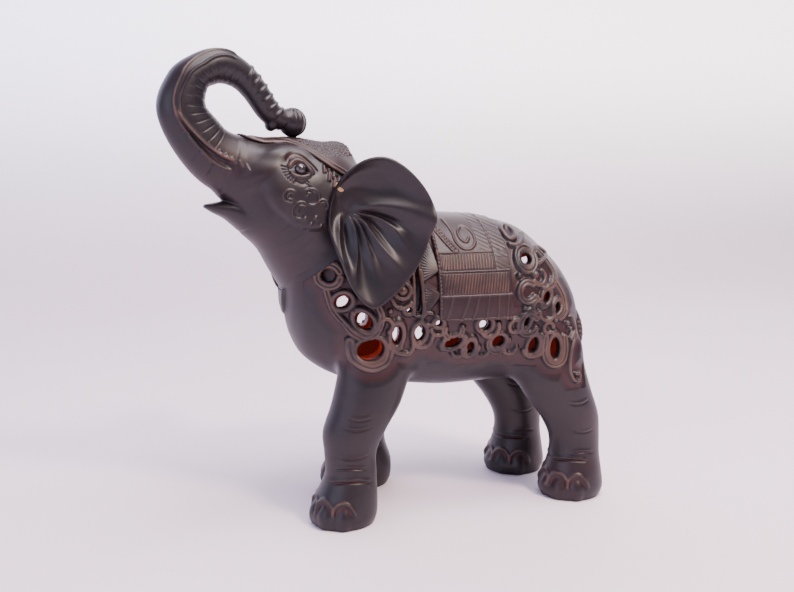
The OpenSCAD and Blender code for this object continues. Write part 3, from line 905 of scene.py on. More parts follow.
class Relief:
    """Heights carved on a flank, over a fine (x, z) grid."""

    LOW, HIGH, STEP = (-60.0, 74.0), (116.0, 182.0), 0.3

    def __init__(self):
        axes = [np.arange(self.LOW[i], self.HIGH[i], self.STEP) for i in (0, 1)]
        self.shape = (len(axes[0]), len(axes[1]))
        grid = np.meshgrid(*axes, indexing="ij")
        self.flat = np.stack([g.ravel() for g in grid], 1)
        self.raised = np.zeros(len(self.flat))
        self.gap = np.full(len(self.flat), 50.0)

    def add(self, chosen, gap, width, height, grooved):
        top = height * np.sqrt(np.clip(1 - (gap / width) ** 2, 0, 1))
        if grooved:
            top = top - 0.62 * height * np.exp(-(gap / (0.26 * width)) ** 2)
        inside = gap < width
        self.raised[chosen[inside]] = np.maximum(self.raised[chosen[inside]], top[inside])
        self.gap[chosen] = np.minimum(self.gap[chosen], np.maximum(gap - width, 0))

    def line(self, line, width, height=1.25):
        chosen = near_line(self.flat, line, width + 8)
        gap, _ = line_distance(self.flat[chosen], line)
        self.add(chosen, gap, width, height, width > 1.6)

    def bead(self, x, z, radius):
        chosen = near_line(self.flat, [(x, z)], radius + 6)
        gap = np.hypot(*(self.flat[chosen] - (x, z)).T)
        self.add(chosen, gap, radius, 1.1 * radius, False)

    def rim(self, opening):
        x, z, tall, wide, turn = opening
        chosen = near_line(self.flat, [(x, z)], tall + 9)
        r = oval(*(self.flat[chosen] - (x, z)).T, tall, wide, turn)
        gap = np.abs((r - 1) * wide - 1.3)
        self.add(chosen, gap, 1.3, 0.9, False)

    def finish(self):
        ground = ease(self.gap, 0.0, 0.9) * (1 - ease(self.gap, 3.0, 9.0))
        self.height = self.raised - 1.0 * ground
        self.colour = np.clip(self.raised / 1.1, 0, 1) - 0.7 * ground

    def at(self, values, xz):
        """Bilinear look-up of a map at (n, 2) places."""
        grid = values.reshape(self.shape)
        g = (xz - self.LOW) / self.STEP
        inside = ((g >= 0) & (g <= np.array(self.shape) - 1.001)).all(1)
        g = np.clip(g, 0, np.array(self.shape) - 1.001)
        i, f = g.astype(int), g - g.astype(int)
        a = grid[i[:, 0], i[:, 1]] * (1 - f[:, 0]) + grid[i[:, 0] + 1, i[:, 1]] * f[:, 0]
        b = grid[i[:, 0], i[:, 1] + 1] * (1 - f[:, 0]) + grid[i[:, 0] + 1, i[:, 1] + 1] * f[:, 0]
        return (a * (1 - f[:, 1]) + b * f[:, 1]) * inside


def flank_relief(side):
    relief = Relief()
    for opening in OPENINGS[side]:
        relief.rim(opening)
    for x, z, radius, start, end, width in SCROLL_ARCS:
        relief.line(arc(x, z, radius, start, end), width)
    for width, places in SCROLL_LINES:
        relief.line(smooth_line(places), width)
    for bead in BEADS:
        relief.bead(*bead)
    edge = smooth_line(FAN_EDGE, 6)
    order = np.argsort(edge[:, 1])
    for middle, low, high, count in FANS:
        for z in np.linspace(low, high, count):
            x = np.interp(z, edge[order, 1], edge[order, 0])
            relief.line(np.linspace(middle, (x, z), 8), 0.62, 0.7)
    relief.line(edge, 0.9)
    relief.finish()
    return relief


points, faces, normals = fine_skin(body_block, pierced, DETAIL_ROUNDS)
depth = -body_block.sample(whole, points)
outside = 1 - ease(depth, 0.8, 1.8)
height, colour = np.zeros(len(points)), np.zeros(len(points))
for side in (LEFT, RIGHT):
    relief = flank_relief(side)
    there = side * points[:, 1] > 4
    share = outside[there] * ease(side * normals[there, 1], 0.1, 0.4)
    height[there] = relief.at(relief.height, points[there][:, [0, 2]]) * share
    colour[there] = relief.at(relief.colour, points[there][:, [0, 2]]) * share
points = points + height[:, None] * normals
# The second mark picks out the walls deep inside, which the finish paints with a red painted glow
marks = marks_of(colour, ease(depth, 4.4, 6.4))
source = build("body_source", turn_head(points), faces, WOOD, marks)

lean = math.radians(NECK_PLANE[2])
neck_up = (-math.sin(lean), 0.0, math.cos(lean))
neck_down = (math.sin(lean), 0.0, -math.cos(lean))
neck_at = (NECK_PLANE[0], 0.0, NECK_PLANE[1])
floor_cut = ((0, 0, LEG_JOINT_Z), (0, 0, -1))
for side in (LEFT, RIGHT):
    half = cut_piece(f"{SIDES[side]}_body_shell", source,
                     [((0, 0, 0), (0, -side, 0)), floor_cut, (neck_at, neck_up)], WOOD,
                     lambda places: body_block.sample(pierced, places))
    keep(half, "carved_wood", f"body_{SIDES[side]}")
bpy.data.objects.remove(source)


# ---------- carving on a skin ----------
class Carving:
    """Heights that are carved on points of a skin, seen from the side as (x, z)."""

    def __init__(self, points):
        self.points = points
        self.flat = points[:, [0, 2]]
        self.height = np.zeros(len(points))
        self.colour = np.zeros(len(points))

    def ridge(self, line, height, width, fade=0.0, share_of=None):
        """A crest, or a groove where the height is below zero, along a line."""
        chosen = near_line(self.flat, line, 3 * width)
        weight = 1.0 if share_of is None else share_of[chosen]
        gap, share = line_distance(self.flat[chosen], line)
        ends = 1.0 if not fade else ease(share, 0, fade) * ease(1 - share, 0, fade)
        rise = height * np.exp(-(gap / width) ** 2) * ends * weight
        self.height[chosen] += rise
        self.colour[chosen] += rise

    def lobe(self, centre, radii, turn, height, share_of=None):
        """A rounded swelling with soft edges."""
        chosen = near_line(self.flat, [centre], max(radii) * 1.6)
        weight = 1.0 if share_of is None else share_of[chosen]
        r = oval(*(self.flat[chosen] - centre).T, *radii, turn)
        self.height[chosen] += height * np.exp(-(r ** 3)) * weight

    def carved(self, normals):
        return self.points + self.height[:, None] * normals


# ---------- legs ----------
TOES = (-78, -38, 2, 42)
TOE_SIZE = (5.6, 5.6, 8.4)
# Folds round the ankle, for front and hind legs: from and to along x, height, rise, size
LEG_FOLDS = [
    [(-13, 16, 26.5, 2.2, 0.9), (-9, 12, 35, 1.6, 0.7), (-8, 14, 44, -1.4, 0.45), (-4, 14, 62, -2, 0.5),
     (-2, 15, 68, -2, 0.4)],
    [(-17, 5, 25, 1.2, 0.9), (-8, 9, 30, 1.4, 0.6), (-10, 8, 46, -1.4, 0.4), (-14, 4, 66, -2, 0.45)],
]


def toe_place(foot_x, foot_y, turn):
    t = math.radians(turn)
    return np.array([foot_x - math.cos(t) * 15.4, foot_y + math.sin(t) * 14.6, 6.2])


for name in LEGS:
    stations, side, shift = LEGS[name]
    xs = [s[0] + shift for s in stations[3:]]
    leg_block = Block((min(xs) - 27, side * 30 - 26, -3), (max(xs) + 27, side * 30 + 26, 84),
                      FINE_STEP)
    d = leg_solid(leg_block, name)
    foot_x, foot_y = stations[-1][0] + shift, side * stations[-1][5]
    d = np.maximum(d, -leg_block.z)
    for t in TOES:
        d = blend(d, ball(leg_block, toe_place(foot_x, foot_y, t), TOE_SIZE), 1.0)
    d = np.maximum(d, -leg_block.z)
    points, faces, normals = fine_skin(leg_block, d, DETAIL_ROUNDS)
    work = Carving(points)
    for t in TOES:
        toe = toe_place(foot_x, foot_y, t)
        r = np.linalg.norm((points - toe) / TOE_SIZE, axis=1)
        over = ease(points[:, 2], 7, 11)
        work.height += 0.75 * np.exp(-((r - 1.42) / 0.13) ** 2) * over
        work.height -= 0.7 * np.exp(-((r - 1.16) / 0.12) ** 2) * over
    for low, high, z, rise, size in LEG_FOLDS[name.startswith("hind")]:
        xs = np.linspace(foot_x + low, foot_x + high, 14)
        fold = np.stack([xs, z + rise * np.sin(np.linspace(0, math.pi, 14))], 1)
        work.ridge(fold, -size, 0.7, 0.25)
        work.ridge(fold + [0, 1.5], 0.55 * size, 1.0, 0.25)
    points = work.carved(normals)
    marks = marks_of(np.clip(work.height / 0.9, -1, 1))
    source = build("leg_source", points, faces, WOOD, marks)
    leg = cut_piece(name + "_carved", source, [((0, 0, LEG_JOINT_Z), (0, 0, 1))], WOOD)
    keep(leg, "carved_wood", name)
    bpy.data.objects.remove(source)

# ---------- neck, head and trunk ----------
EYE_PLACE = (-70.0, 25.5, 210.0)
SOCKET_SHIFT = (-0.2, 3.0, 0.0)
SOCKET_SIZE = (4.6, 3.6, 3.4)


def head_top(block):
    """The skull with the neck and body it grows from, before any carving."""
    h = blend(Form(BARREL, block).solid(block), Form(NECK, block).solid(block), 16.0)
    h = blend(h, Form(HEAD, block).solid(block), 5.0)
    for middle, size, fillet in (CROWN, BROW):
        h = blend(h, ball(block, middle, size), fillet)
    return h


head_block = Block((-146, -44, 112), (-4, 44, 282), FINE_STEP)
skull = head_top(head_block)
trunk_form = Form(TRUNK, head_block)
trunk_solid = trunk_form.solid(head_block)
trunk_solid = blend(trunk_solid, ball(head_block, TRUNK_TIP, TRUNK_TIP_SIZE), 1.5)
trunk_solid = blend(trunk_solid, ball(head_block, TRUNK_LIP, TRUNK_LIP_SIZE), 1.5)
d = blend(skull, trunk_solid, 2.0)
d = blend(d, Form(JAW, head_block).solid(head_block), 1.2)
for side in (LEFT, RIGHT):
    x, y, z = np.add(EYE_PLACE, SOCKET_SHIFT)
    d = carve(d, ball(head_block, (x, side * y, z), SOCKET_SIZE), 0.8)
points, faces, normals = fine_skin(head_block, d, DETAIL_ROUNDS)

work = Carving(points)
over_skull = head_block.sample(skull, points)
on_trunk = (head_block.sample(trunk_solid, points) < 1.2) * ease(over_skull, 0.5, 6.0)
place = trunk_form.at(head_block, points, "place")
across = trunk_form.at(head_block, points, "across")
gaps = np.hypot(*np.diff(np.array(TRUNK)[:, :2], axis=0).T)
run = np.interp(place, np.arange(len(TRUNK)), np.concatenate([[0], np.cumsum(gaps)]))


def course(stops):
    """How far across the trunk a line lies, along it."""
    stops = np.array(stops)
    return np.interp(place, stops[:, 0], stops[:, 1])


def trunk_line(stops, height, width):
    """A raised line along the trunk, at stops of (place, across), on both sides."""
    stops = np.array(stops)
    tall = np.interp(place, np.arange(len(TRUNK)), np.array(TRUNK)[:, 3])
    gap = (across - course(stops)) * tall
    ends = ease(place, stops[0, 0] - 0.15, stops[0, 0] + 0.1) * (
        1 - ease(place, stops[-1, 0] - 0.1, stops[-1, 0] + 0.2))
    rise = on_trunk * height * np.exp(-(gap / width) ** 2) * ends
    work.height += rise
    work.colour += rise


upper_front = [(1.95, -0.5), (3, -0.52), (4, -0.72), (5, -0.78), (5.5, -0.85)]
upper_back = [(1.95, -0.3), (3, -0.26), (4, -0.28), (4.6, -0.4), (5.4, -0.52)]
lower_front = [(0.1, -0.24), (0.6, -0.29), (1.1, -0.34), (1.6, -0.43), (1.95, -0.5)]
lower_back = [(0.2, 0.1), (0.6, 0.05), (1.0, -0.02), (1.45, -0.18), (1.8, -0.32), (1.95, -0.38)]
trunk_line(upper_front, 0.9, 0.7)
trunk_line(upper_back, 0.7, 0.6)
trunk_line(lower_front, 0.6, 0.7)
trunk_line(lower_back, 1.1, 0.9)
edge = np.where(place < 1.95, course(lower_front), course(upper_front))
work.height -= 0.8 * ease(edge - across, 0.0, 0.10) * on_trunk * (1 - ease(place, 4.6, 5.6))
valley = ease(across - course(lower_front), 0.02, 0.12) * ease(course(lower_back) - across, 0.02, 0.12)
work.height -= 1.2 * valley * on_trunk * (1 - ease(place, 1.6, 1.95))
for stop in (0.35, 0.82, 1.22, 1.56):
    slant = (place - stop - 0.10 * (across + 0.5)) * np.interp(stop, range(len(gaps)), gaps)
    span = ease(across, -0.86, -0.7) * (1 - ease(across, -0.42, -0.3))
    work.height -= on_trunk * 0.6 * np.exp(-(slant / 0.5) ** 2) * span
wrinkle = np.exp(-((np.mod(run + 1.3 * across, 5.2) - 2.6) / 0.55) ** 2)
inner_side = ease(across, -0.15, 0.2) * (1 - ease(place, 5.8, 6.2)) * ease(place, 0.7, 1.1)
work.height -= on_trunk * 0.2 * wrinkle * inner_side
ring = np.exp(-((np.mod(run - 1.0, 5.1) - 2.5) / 0.8) ** 2)
work.height += on_trunk * 0.75 * ring * ease(place, 5.9, 6.4) * (1 - ease(place, 8.3, 8.7)) * (
    1 - ease(across, 0.0, 0.6))
from_tip = points - np.array(TRUNK_TIP)
spoke = np.cos(np.arctan2(from_tip[:, 1], from_tip[:, 0]) * 11)
tip_part = on_trunk * (np.linalg.norm(from_tip, axis=1) < 10) * ease(from_tip[:, 0], -4, 0)
work.height += 0.2 * spoke * tip_part
for i in range(5):
    x, z = -111 + 3.4 * i, 218.4 - 1.9 * i
    work.ridge([(x - 0.7, z + 1.6), (x + 0.6, z - 1.6)], 0.6, 0.5)

flanks = ease(np.abs(points[:, 1]), 5, 10)
cheeks = flanks * (1 - ease(over_skull, 0.6, 3.0))
EYE_LINES = [
    ([(-76.4, 210), (-74.6, 212.6), (-71.2, 214.2), (-67.8, 213.4), (-65.4, 210.6),
      (-63.4, 206.4)], 1.7, 1.0),
    ([(-77.5, 213.6), (-73, 216.8), (-67.8, 216.4), (-63.2, 212.8), (-60.5, 207.5)], -0.8, 1.0),
    ([(-76.2, 208.6), (-74.4, 206.6), (-71, 205.6), (-67.6, 206), (-65, 207.4)], 1.3, 0.9),
    ([(-75, 203.6), (-71, 201.8), (-66.6, 203)], -0.4, 0.9),
    ([(-67.2, 201.4), (-66.8, 202)], 1.1, 1.2),
]
for line, height, width in EYE_LINES:
    work.ridge(smooth_line(line, 5), height, width, 0.12, cheeks)
for i in range(7):
    t = math.radians(168 + 13 * i)
    start = (-71.5 + 5.6 * math.cos(t), 209.6 + 5.2 * math.sin(t))
    end = (-71.5 + 8.6 * math.cos(t), 209.6 + 8.0 * math.sin(t))
    work.ridge([start, end], -0.6, 0.4, 0.0, cheeks)
work.lobe((-74.5, 219.4), (14, 4.6), 1, 2.2, cheeks)
work.lobe((-86, 213), (15, 4.5), 32, 1.5, cheeks)
work.lobe((-80, 202), (9, 11), 0, 1.5, cheeks)
for centre, radius, start, end in (((-77.6, 195.2), 3.4, 20, 300), ((-77.6, 195.2), 1.6, 60, 330),
                                   ((-65.6, 194.8), 4.4, -130, 150), ((-67.6, 197), 2.0, 0, 260),
                                   ((-72.0, 187.6), 4.6, 40, 290), ((-71.6, 188), 2.2, 0, 240),
                                   ((-59.5, 190), 3.2, -60, 170)):
    work.ridge(arc(*centre, radius, start, end), 0.6, 0.45, 0.1, cheeks)
    work.ridge(arc(*centre, radius - 0.9, start, end), -0.25, 0.5, 0.1, cheeks)
for spot in ((-69.8, 183.2), (-63.9, 183.4), (-60.8, 178.8), (-66.5, 180)):
    work.ridge([spot, (spot[0] + 0.1, spot[1])], 0.9, 0.9, 0.0, cheeks)
JOWL = [(-93, 203), (-89.7, 197.5), (-85.4, 189.2), (-77, 181.2), (-69.4, 177.2), (-60.7, 176.4), (-52, 178)]
jowl = smooth_line(JOWL, 6)
gap, share = line_distance(work.flat, jowl)
under = np.interp(points[:, 0], jowl[:, 0], jowl[:, 1]) > points[:, 2]
across_edge = np.where(under, -gap, gap)
step = ease(across_edge, -2.2, 2.2) - 0.5
work.height += cheeks * 2.2 * step * np.exp(-(gap / 9.0) ** 2) * ease(share, 0.0, 0.2)
for line in ([(-55.6, 212.6), (-56.6, 207.4)], [(-52.8, 209.6), (-54.8, 202.8)],
             [(-50, 206.4), (-52.4, 198.6)]):
    work.ridge(line, 1.0, 1.0, 0.2, cheeks)
    shifted = [(x + 1.9, z + 0.6) for x, z in line]
    work.ridge(shifted, -1.0, 0.8, 0.2, cheeks)
for i in range(9):
    z = 176 - 6.5 * i
    x = -84 + 4.6 * i
    fold = smooth_line([(x - 1, z - 2), (x + 7, z + 3), (x + 15, z + 12)], 4)
    work.ridge(fold, -0.22, 0.7, 0.4, flanks)

points = work.carved(normals)
marks = marks_of(np.clip(work.colour * 1.1, -1, 1))
source = build("head_source", turn_head(points), faces, WOOD, marks)


def turned_plane(plane):
    """A plane of the head as a point and its upward normal, after the head's turn."""
    lean = math.radians(plane[2])
    t = math.radians(HEAD_TURN)
    point = rigid_turn(np.array([[plane[0], 0.0, plane[1]]]))[0]
    flat = -math.sin(lean)
    return tuple(point), (flat * math.cos(t), flat * math.sin(t), math.cos(lean))


def flipped(plane):
    point, normal = plane
    return point, tuple(-c for c in normal)


head_cut = turned_plane(HEAD_PLANE)
trunk_cut = turned_plane(TRUNK_PLANE)
for name, planes, *nodes in (("neck_block", [(neck_at, neck_down), head_cut], "neck"),
                             ("head_block", [flipped(head_cut), trunk_cut], "head", "lower_jaw"),
                             ("trunk_carved", [flipped(trunk_cut)], "trunk")):
    keep(cut_piece(name, source, planes, WOOD), "carved_wood", *nodes)
bpy.data.objects.remove(source)

# ---------- head cloth ----------
cloth_block = Block((-100, -34, 200), (-22, 34, 232), 0.45)
CLOTH_EDGE = [(-99, 231), (-93.8, 227.4), (-84.5, 224.4), (-73.3, 224.6), (-67.6, 223), (-62.5, 219.4),
              (-58, 215.6), (-52, 211), (-45, 206.8), (-38, 203), (-24, 197)]
edge_line = smooth_line(CLOTH_EDGE, 6)
top = head_top(cloth_block)
edge_z = np.interp(cloth_block.x[:, 0, 0], edge_line[:, 0], edge_line[:, 1]).astype(np.float32)
slope = np.gradient(edge_z, cloth_block.step)
under = (edge_z[:, None, None] - cloth_block.z) / np.hypot(1, slope)[:, None, None]
cloth = np.maximum(top - 1.1, -(top + 0.9))
cloth = carve(cloth, -under, 0.5)
cloth = np.maximum(cloth, cloth_block.x + 31.0)
points, faces, normals = fine_skin(cloth_block, cloth, 0)
work = Carving(points)
gap, share = line_distance(work.flat, edge_line)
outer = cloth_block.sample(top, points) > 0.4
rims = 0.7 * np.exp(-((gap - 0.9) / 0.55) ** 2) + 0.6 * np.exp(-((gap - 3.1) / 0.5) ** 2)
work.height += np.where(outer, rims, 0)
knots = (np.sin(points[:, 0] * 2.9 + 1.3 * np.sin(points[:, 1] * 1.7))
         * np.sin(points[:, 1] * 2.7 + 1.1 * np.sin(points[:, 0] * 1.9)))
rough_part = (gap > 4.2) & outer & ((points[:, 0] < -56) | (points[:, 2] > 217.5))
work.height += np.where(rough_part, 0.42 * knots, 0)
points = work.carved(normals)
marks = marks_of(np.clip(work.height / 0.6, -1, 1))
cloth_piece = build("head_cloth", turn_head(points), faces, CLOTH_WOOD, marks)
keep(cloth_piece, "cloth_relief", "headdress")

# ---------- ears ----------
EAR_EDGE = [(-54, 199, 36), (-47, 210, 41), (-38, 216, 46), (-28, 216.5, 51), (-18, 210, 56), (-9, 199, 60),
            (-5, 188, 62), (-6.5, 176, 62), (-11, 162, 61), (-19, 149, 59), (-29, 138.5, 56),
            (-39, 132.5, 53),
            (-48, 141, 49), (-54, 155, 44), (-57.5, 170, 39), (-58, 183, 36)]
EAR_MIDDLE = (-47.0, 187.0)
EAR_ROOT_Y = 33.5
EAR_T = 3.0
# Pleats: the places they pass through, height, half width, share of their length where they fade
PLEATS = [
    ([(-45, 187), (-38.5, 185.4), (-32.4, 183.4), (-27.5, 179.8), (-23.6, 175.2), (-19, 166),
      (-16, 158)], 2.6, 1.5, 0.5),
    ([(-44.6, 186.2), (-39.8, 181.4), (-36.2, 175.1), (-33.2, 169.1), (-29.5, 163), (-24, 155),
      (-20, 149)], 3.4, 1.8, 0.6),
    ([(-45.2, 186), (-42, 180.5), (-39.8, 173.4), (-38.6, 167.4), (-37.4, 160.8), (-35.5, 151),
      (-33, 142)], 2.8, 1.5, 0.55),
    ([(-46, 185.8), (-44.4, 179), (-43.6, 172), (-44, 166), (-45.4, 159), (-47.6, 149),
      (-48, 143)], 2.8, 1.6, 0.6),
    ([(-49, 186), (-51.6, 181), (-53.6, 174), (-54.2, 166), (-53.4, 157), (-50, 147)], 2.8, 2.2, 0.75),
]
FURROWS = [
    ([(-45, 186.6), (-36, 185.6), (-28, 183), (-20, 178.6), (-12, 172)], 2.4, 0.9),
    ([(-44.6, 186), (-37, 182), (-31.5, 176.5), (-27, 169), (-22, 160)], 1.5, 0.8),
    ([(-45, 185.6), (-40.6, 179.5), (-38, 172), (-35.4, 164), (-31, 155)], 1.5, 0.7),
    ([(-45.6, 185.6), (-43, 179), (-41.8, 171), (-41.6, 163), (-42, 153)], 1.4, 0.7),
    ([(-47, 186), (-48.4, 179), (-48.6, 171), (-49.6, 162), (-50.6, 155)], 2.2, 1.2),
]


def ear_sheet(u, v, side_offset):
    """Points of the left ear's middle sheet: u round the outline, v from the middle out."""
    edge = round_course(EAR_EDGE, u)
    x = EAR_MIDDLE[0] + (edge[..., 0] - EAR_MIDDLE[0]) * v
    z = EAR_MIDDLE[1] + (edge[..., 1] - EAR_MIDDLE[1]) * v
    flare = EAR_ROOT_Y + (edge[..., 2] - EAR_ROOT_Y) * v - 3.2 * v * (1 - v) * 2
    flat = np.stack([x.ravel(), z.ravel()], 1)
    h = np.zeros(len(flat))
    reach = np.hypot(flat[:, 0] - EAR_MIDDLE[0], flat[:, 1] - EAR_MIDDLE[1])
    grow = ease(reach, 1.0, 12.0)
    vv = v.ravel()
    for line, height, width, fades in PLEATS:
        gap, share = line_distance(flat, smooth_line(line, 6))
        spread = width * (0.5 + 0.045 * reach)
        h += height * np.exp(-(gap / spread) ** 1.5) * grow * (1 - ease(share, fades, 1.0))
    for line, height, width in FURROWS:
        gap, share = line_distance(flat, smooth_line(line, 6))
        spread = width * (0.6 + 0.05 * reach)
        h -= height * np.exp(-(gap / spread) ** 2) * grow * (1 - ease(share, 0.5, 1.0))
    ridge = smooth_line([(-46, 187.4), (-38, 189), (-30, 189.6), (-22, 188), (-14, 185), (-5, 181)], 6)
    gap, share = line_distance(flat, ridge)
    h += 3.6 * np.exp(-(gap / (1.4 + 0.13 * reach)) ** 2) * grow
    upper = ease(flat[:, 1], 188, 200)
    h -= 2.6 * upper * ease(vv, 0.1, 0.5) * (1 - ease(vv, 0.72, 0.96))
    h += 0.9 * np.exp(-((vv - 0.965) / 0.022) ** 2) * upper
    h = h.reshape(x.shape)
    thick = EAR_T * 0.5 * np.sqrt(np.clip(1 - np.clip((v - 0.93) / 0.07, 0, 1) ** 2, 0.0, 1))
    y = flare + h + side_offset * np.maximum(thick, 0.0)
    return np.stack([x, -y, z], -1)


def ear_mesh():
    rounds, rings = ((480, 110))
    u = np.linspace(0, len(EAR_EDGE), rounds, endpoint=False)
    rim_v = 0.93 + 0.07 * np.sin(np.linspace(0.15, 1, 10) * math.pi / 2)
    v = np.concatenate([np.linspace(0.004, 0.93, rings), rim_v])
    uu, vv = np.meshgrid(u, v, indexing="ij")
    front = ear_sheet(uu, vv, 1.0)
    back = ear_sheet(uu, vv, -1.0)
    n = len(v)
    points = np.concatenate([front.reshape(-1, 3), back.reshape(-1, 3)])
    i, j = np.meshgrid(np.arange(rounds), np.arange(n - 1), indexing="ij")
    a, b = i * n + j, ((i + 1) % rounds) * n + j
    quads = np.stack([a, b, b + 1, a + 1], -1).reshape(-1, 4)
    half = rounds * n
    rim = np.arange(rounds) * n + n - 1
    nxt = ((np.arange(rounds) + 1) % rounds) * n + n - 1
    walls = np.stack([rim, nxt, nxt + half, rim + half], 1)
    caps = []
    for start, flip in ((0, False), (half, True)):
        ring_index = np.arange(rounds) * n + start
        k = np.arange(0, rounds // 2 - 1)
        cap = np.stack([ring_index[i] for i in (k, k + 1, rounds - 2 - k, rounds - 1 - k)], 1)
        caps.append(cap if flip else cap[:, ::-1])
    return points, np.concatenate([quads, quads[:, ::-1] + half, walls, *caps])


ear_points, ear_faces = ear_mesh()
from_middle = np.hypot(ear_points[:, 0] - EAR_MIDDLE[0], ear_points[:, 2] - EAR_MIDDLE[1])
ear_crest = 0.5 * crests(ear_points, ear_faces, 4, 0.02) * ease(from_middle, 4, 9)
for side in (LEFT, RIGHT):
    points = ear_points.copy()
    faces = ear_faces
    if side == RIGHT:
        swing = math.radians(10)
        dx, dz = points[:, 0] + 49, points[:, 2] - 191
        points[:, 0] = -49 + dx * math.cos(swing) + dz * math.sin(swing)
        points[:, 2] = 191 - dx * math.sin(swing) + dz * math.cos(swing)
        points[:, 1] *= -1
        faces = ear_faces[:, ::-1]
    ear = build(f"{SIDES[side]}_ear_pleated", rigid_turn(points), faces, EAR_WOOD, marks_of(ear_crest))
    keep(ear, "carved_wood", f"{SIDES[side]}_ear")

# ---------- saddle cloth ----------
SADDLE_FRONT, SADDLE_REAR = 16.0, 62.0
SADDLE_SPLIT_Z, SADDLE_HEM_Z = 159.0, 122.0
dense_u = np.linspace(0, len(BARREL) - 1, 600)
dense_rows = along(BARREL, dense_u)


def barrel_at(x):
    return [np.interp(x, dense_rows[:, 0], dense_rows[:, i]) for i in (1, 3, 4)]


def saddle_point(x, phi, lift):
    middle, tall, wide = barrel_at(x)
    return np.stack([x, (wide + lift) * np.sin(phi), middle + (tall + lift) * np.cos(phi)], -1)


def bump_line(value, centre, width):
    return np.exp(-((value - centre) / width) ** 2)


TEAR = smooth_line([(27, 179), (29.5, 172), (30, 167), (33.5, 163), (38.5, 162.8), (42.5, 166.5), (42, 172),
                    (37.5, 175), (33.5, 172.5), (33.4, 168.6), (36.5, 166.4), (39, 168.6)], 6)
STRIP = [(17, 176.5), (22, 168), (27.5, 161)]


def saddle_height(x, z):
    """Height of the saddle cloth's relief at (x, z) of a flank."""
    h = np.full(x.shape, 0.9)
    second = band(z, 137.4, 149.0, 0.5) * band(x, 18.6, 59.4, 0.6)
    first = band(z, 151.0, 159.6, 0.5) * band(x, 18.6, 50.6, 0.6)
    slant = x - 0.22 * (z - 143)
    h += 0.75 * np.sqrt(np.abs(np.cos(math.pi * slant / 1.8))) * second
    fan = x - 0.10 * (z - 151) * (1 + 2.5 * (1 - ease(x, 18, 27)))
    h += 0.75 * np.sqrt(np.abs(np.cos(math.pi * fan / 1.85))) * first
    for level, reach in ((136.7, 63), (150.2, 63), (160.8, 52)):
        h += 0.7 * bump_line(z, level, 0.42) * (x < reach)
    h -= 0.5 * bump_line(z, 149.7, 0.3)
    h += 0.5 * bump_line(x, 51.8, 0.45) * (z > 150.8)
    h += 0.5 * bump_line(x, 60.6, 0.45) * (z < 150.5)
    bead = 0.5 + 0.5 * np.cos(2 * math.pi * z / 2.1)
    h += (0.35 + 0.7 * bead) * bump_line(x, SADDLE_FRONT + 0.9, 0.55)
    h += 0.45 * bump_line(x, SADDLE_FRONT + 2.4, 0.35) * (z < 161)
    flat = np.stack([x.ravel(), z.ravel()], 1)
    for line in ([(34.1, 136), (28.4, 122)], [(46.6, 136), (44.3, 122)], [(59.2, 136), (58, 122)],
                 [(24, 136), (20, 122)], [(53, 136), (52, 122)], [(40, 136), (36, 122)]):
        gap, _ = line_distance(flat, line)
        h += 0.6 * np.exp(-(gap / 0.55) ** 2).reshape(x.shape) * (z < 136.4)
    h += 0.55 * bump_line(z, SADDLE_HEM_Z + 1.0, 0.5)
    gap, _ = line_distance(flat, TEAR)
    gap = gap.reshape(x.shape)
    h += np.where(z > 161, 0.75 * np.exp(-(gap / 0.6) ** 2), 0)
    for shift, size in ((0.0, 0.7), (2.6, 0.5)):
        gap, _ = line_distance(flat, [(a + shift, b + 0.6 * shift) for a, b in STRIP])
        h += np.where(z > 160.5, size * np.exp(-(gap.reshape(x.shape) / 0.45) ** 2), 0)
    gap, share = line_distance(flat, [(a + 1.6, b + 0.8) for a, b in STRIP])
    rib = 0.5 + 0.5 * np.cos(2 * math.pi * share * 19 / 1.9)
    h += np.where(z > 160.5, 0.5 * (np.exp(-(gap / 1.6) ** 4) * rib).reshape(x.shape), 0)
    rib = 0.5 + 0.5 * np.cos(2 * math.pi * (z + 0.5 * x) / 2.4)
    h += 0.25 * rib * (z > 161.5) * (x > 44)
    h += 0.22 * rib * (x > 53) * (z > 151) * (z < 160)
    return h


def saddle_part(name, phis):
    xx, pp = np.meshgrid(xs, phis, indexing="ij")
    middle, tall, wide = barrel_at(xx)
    h = saddle_height(xx, middle + tall * np.cos(pp))
    outer = saddle_point(xx, pp, h)
    inner = saddle_point(xx, pp, -1.2)
    points, faces = shell(outer, inner)
    crest = np.concatenate([np.clip((h - 1.05) / 0.6, 0, 1).ravel(), np.zeros(len(points) - h.size)])
    keep(build(name + "_carved", points, faces, CLOTH_WOOD, marks_of(crest)), "cloth_relief", name)


cloth_step = 0.32
xs = np.linspace(SADDLE_FRONT, SADDLE_REAR, int((SADDLE_REAR - SADDLE_FRONT) / cloth_step))
split = math.acos((SADDLE_SPLIT_Z - 128.0) / 54.3)
hem = math.acos((SADDLE_HEM_Z - 128.0) / 54.3)
for name, start, end in (("saddle_top", split, -split), ("saddle_left_flap", -split, -hem),
                         ("saddle_right_flap", hem, split)):
    saddle_part(name, np.linspace(start, end, int((start - end) * 50 / cloth_step)))

# ---------- tail ----------
tail_block = Block((108, -10, 50), (142, 10, 134), FINE_STEP)
tail_d = Form(TAIL, tail_block).solid(tail_block)
points, faces, normals = fine_skin(tail_block, tail_d, 0)
strand = np.cos(np.arctan2(points[:, 1], points[:, 0] - 128) * 7 + points[:, 2] * 0.25)
points = points + normals * (0.35 * strand * (1 - ease(points[:, 2], 66, 76)))[:, None]
rings = np.cos(points[:, 2] * 1.9) * ease(points[:, 2], 74, 80)
points = points + normals * (0.12 * rings)[:, None]
tail = build("tail_carved", points, faces, WOOD, marks_of(crests(points, faces, 2, 0.03)))
keep(tail, "carved_wood", "tail")

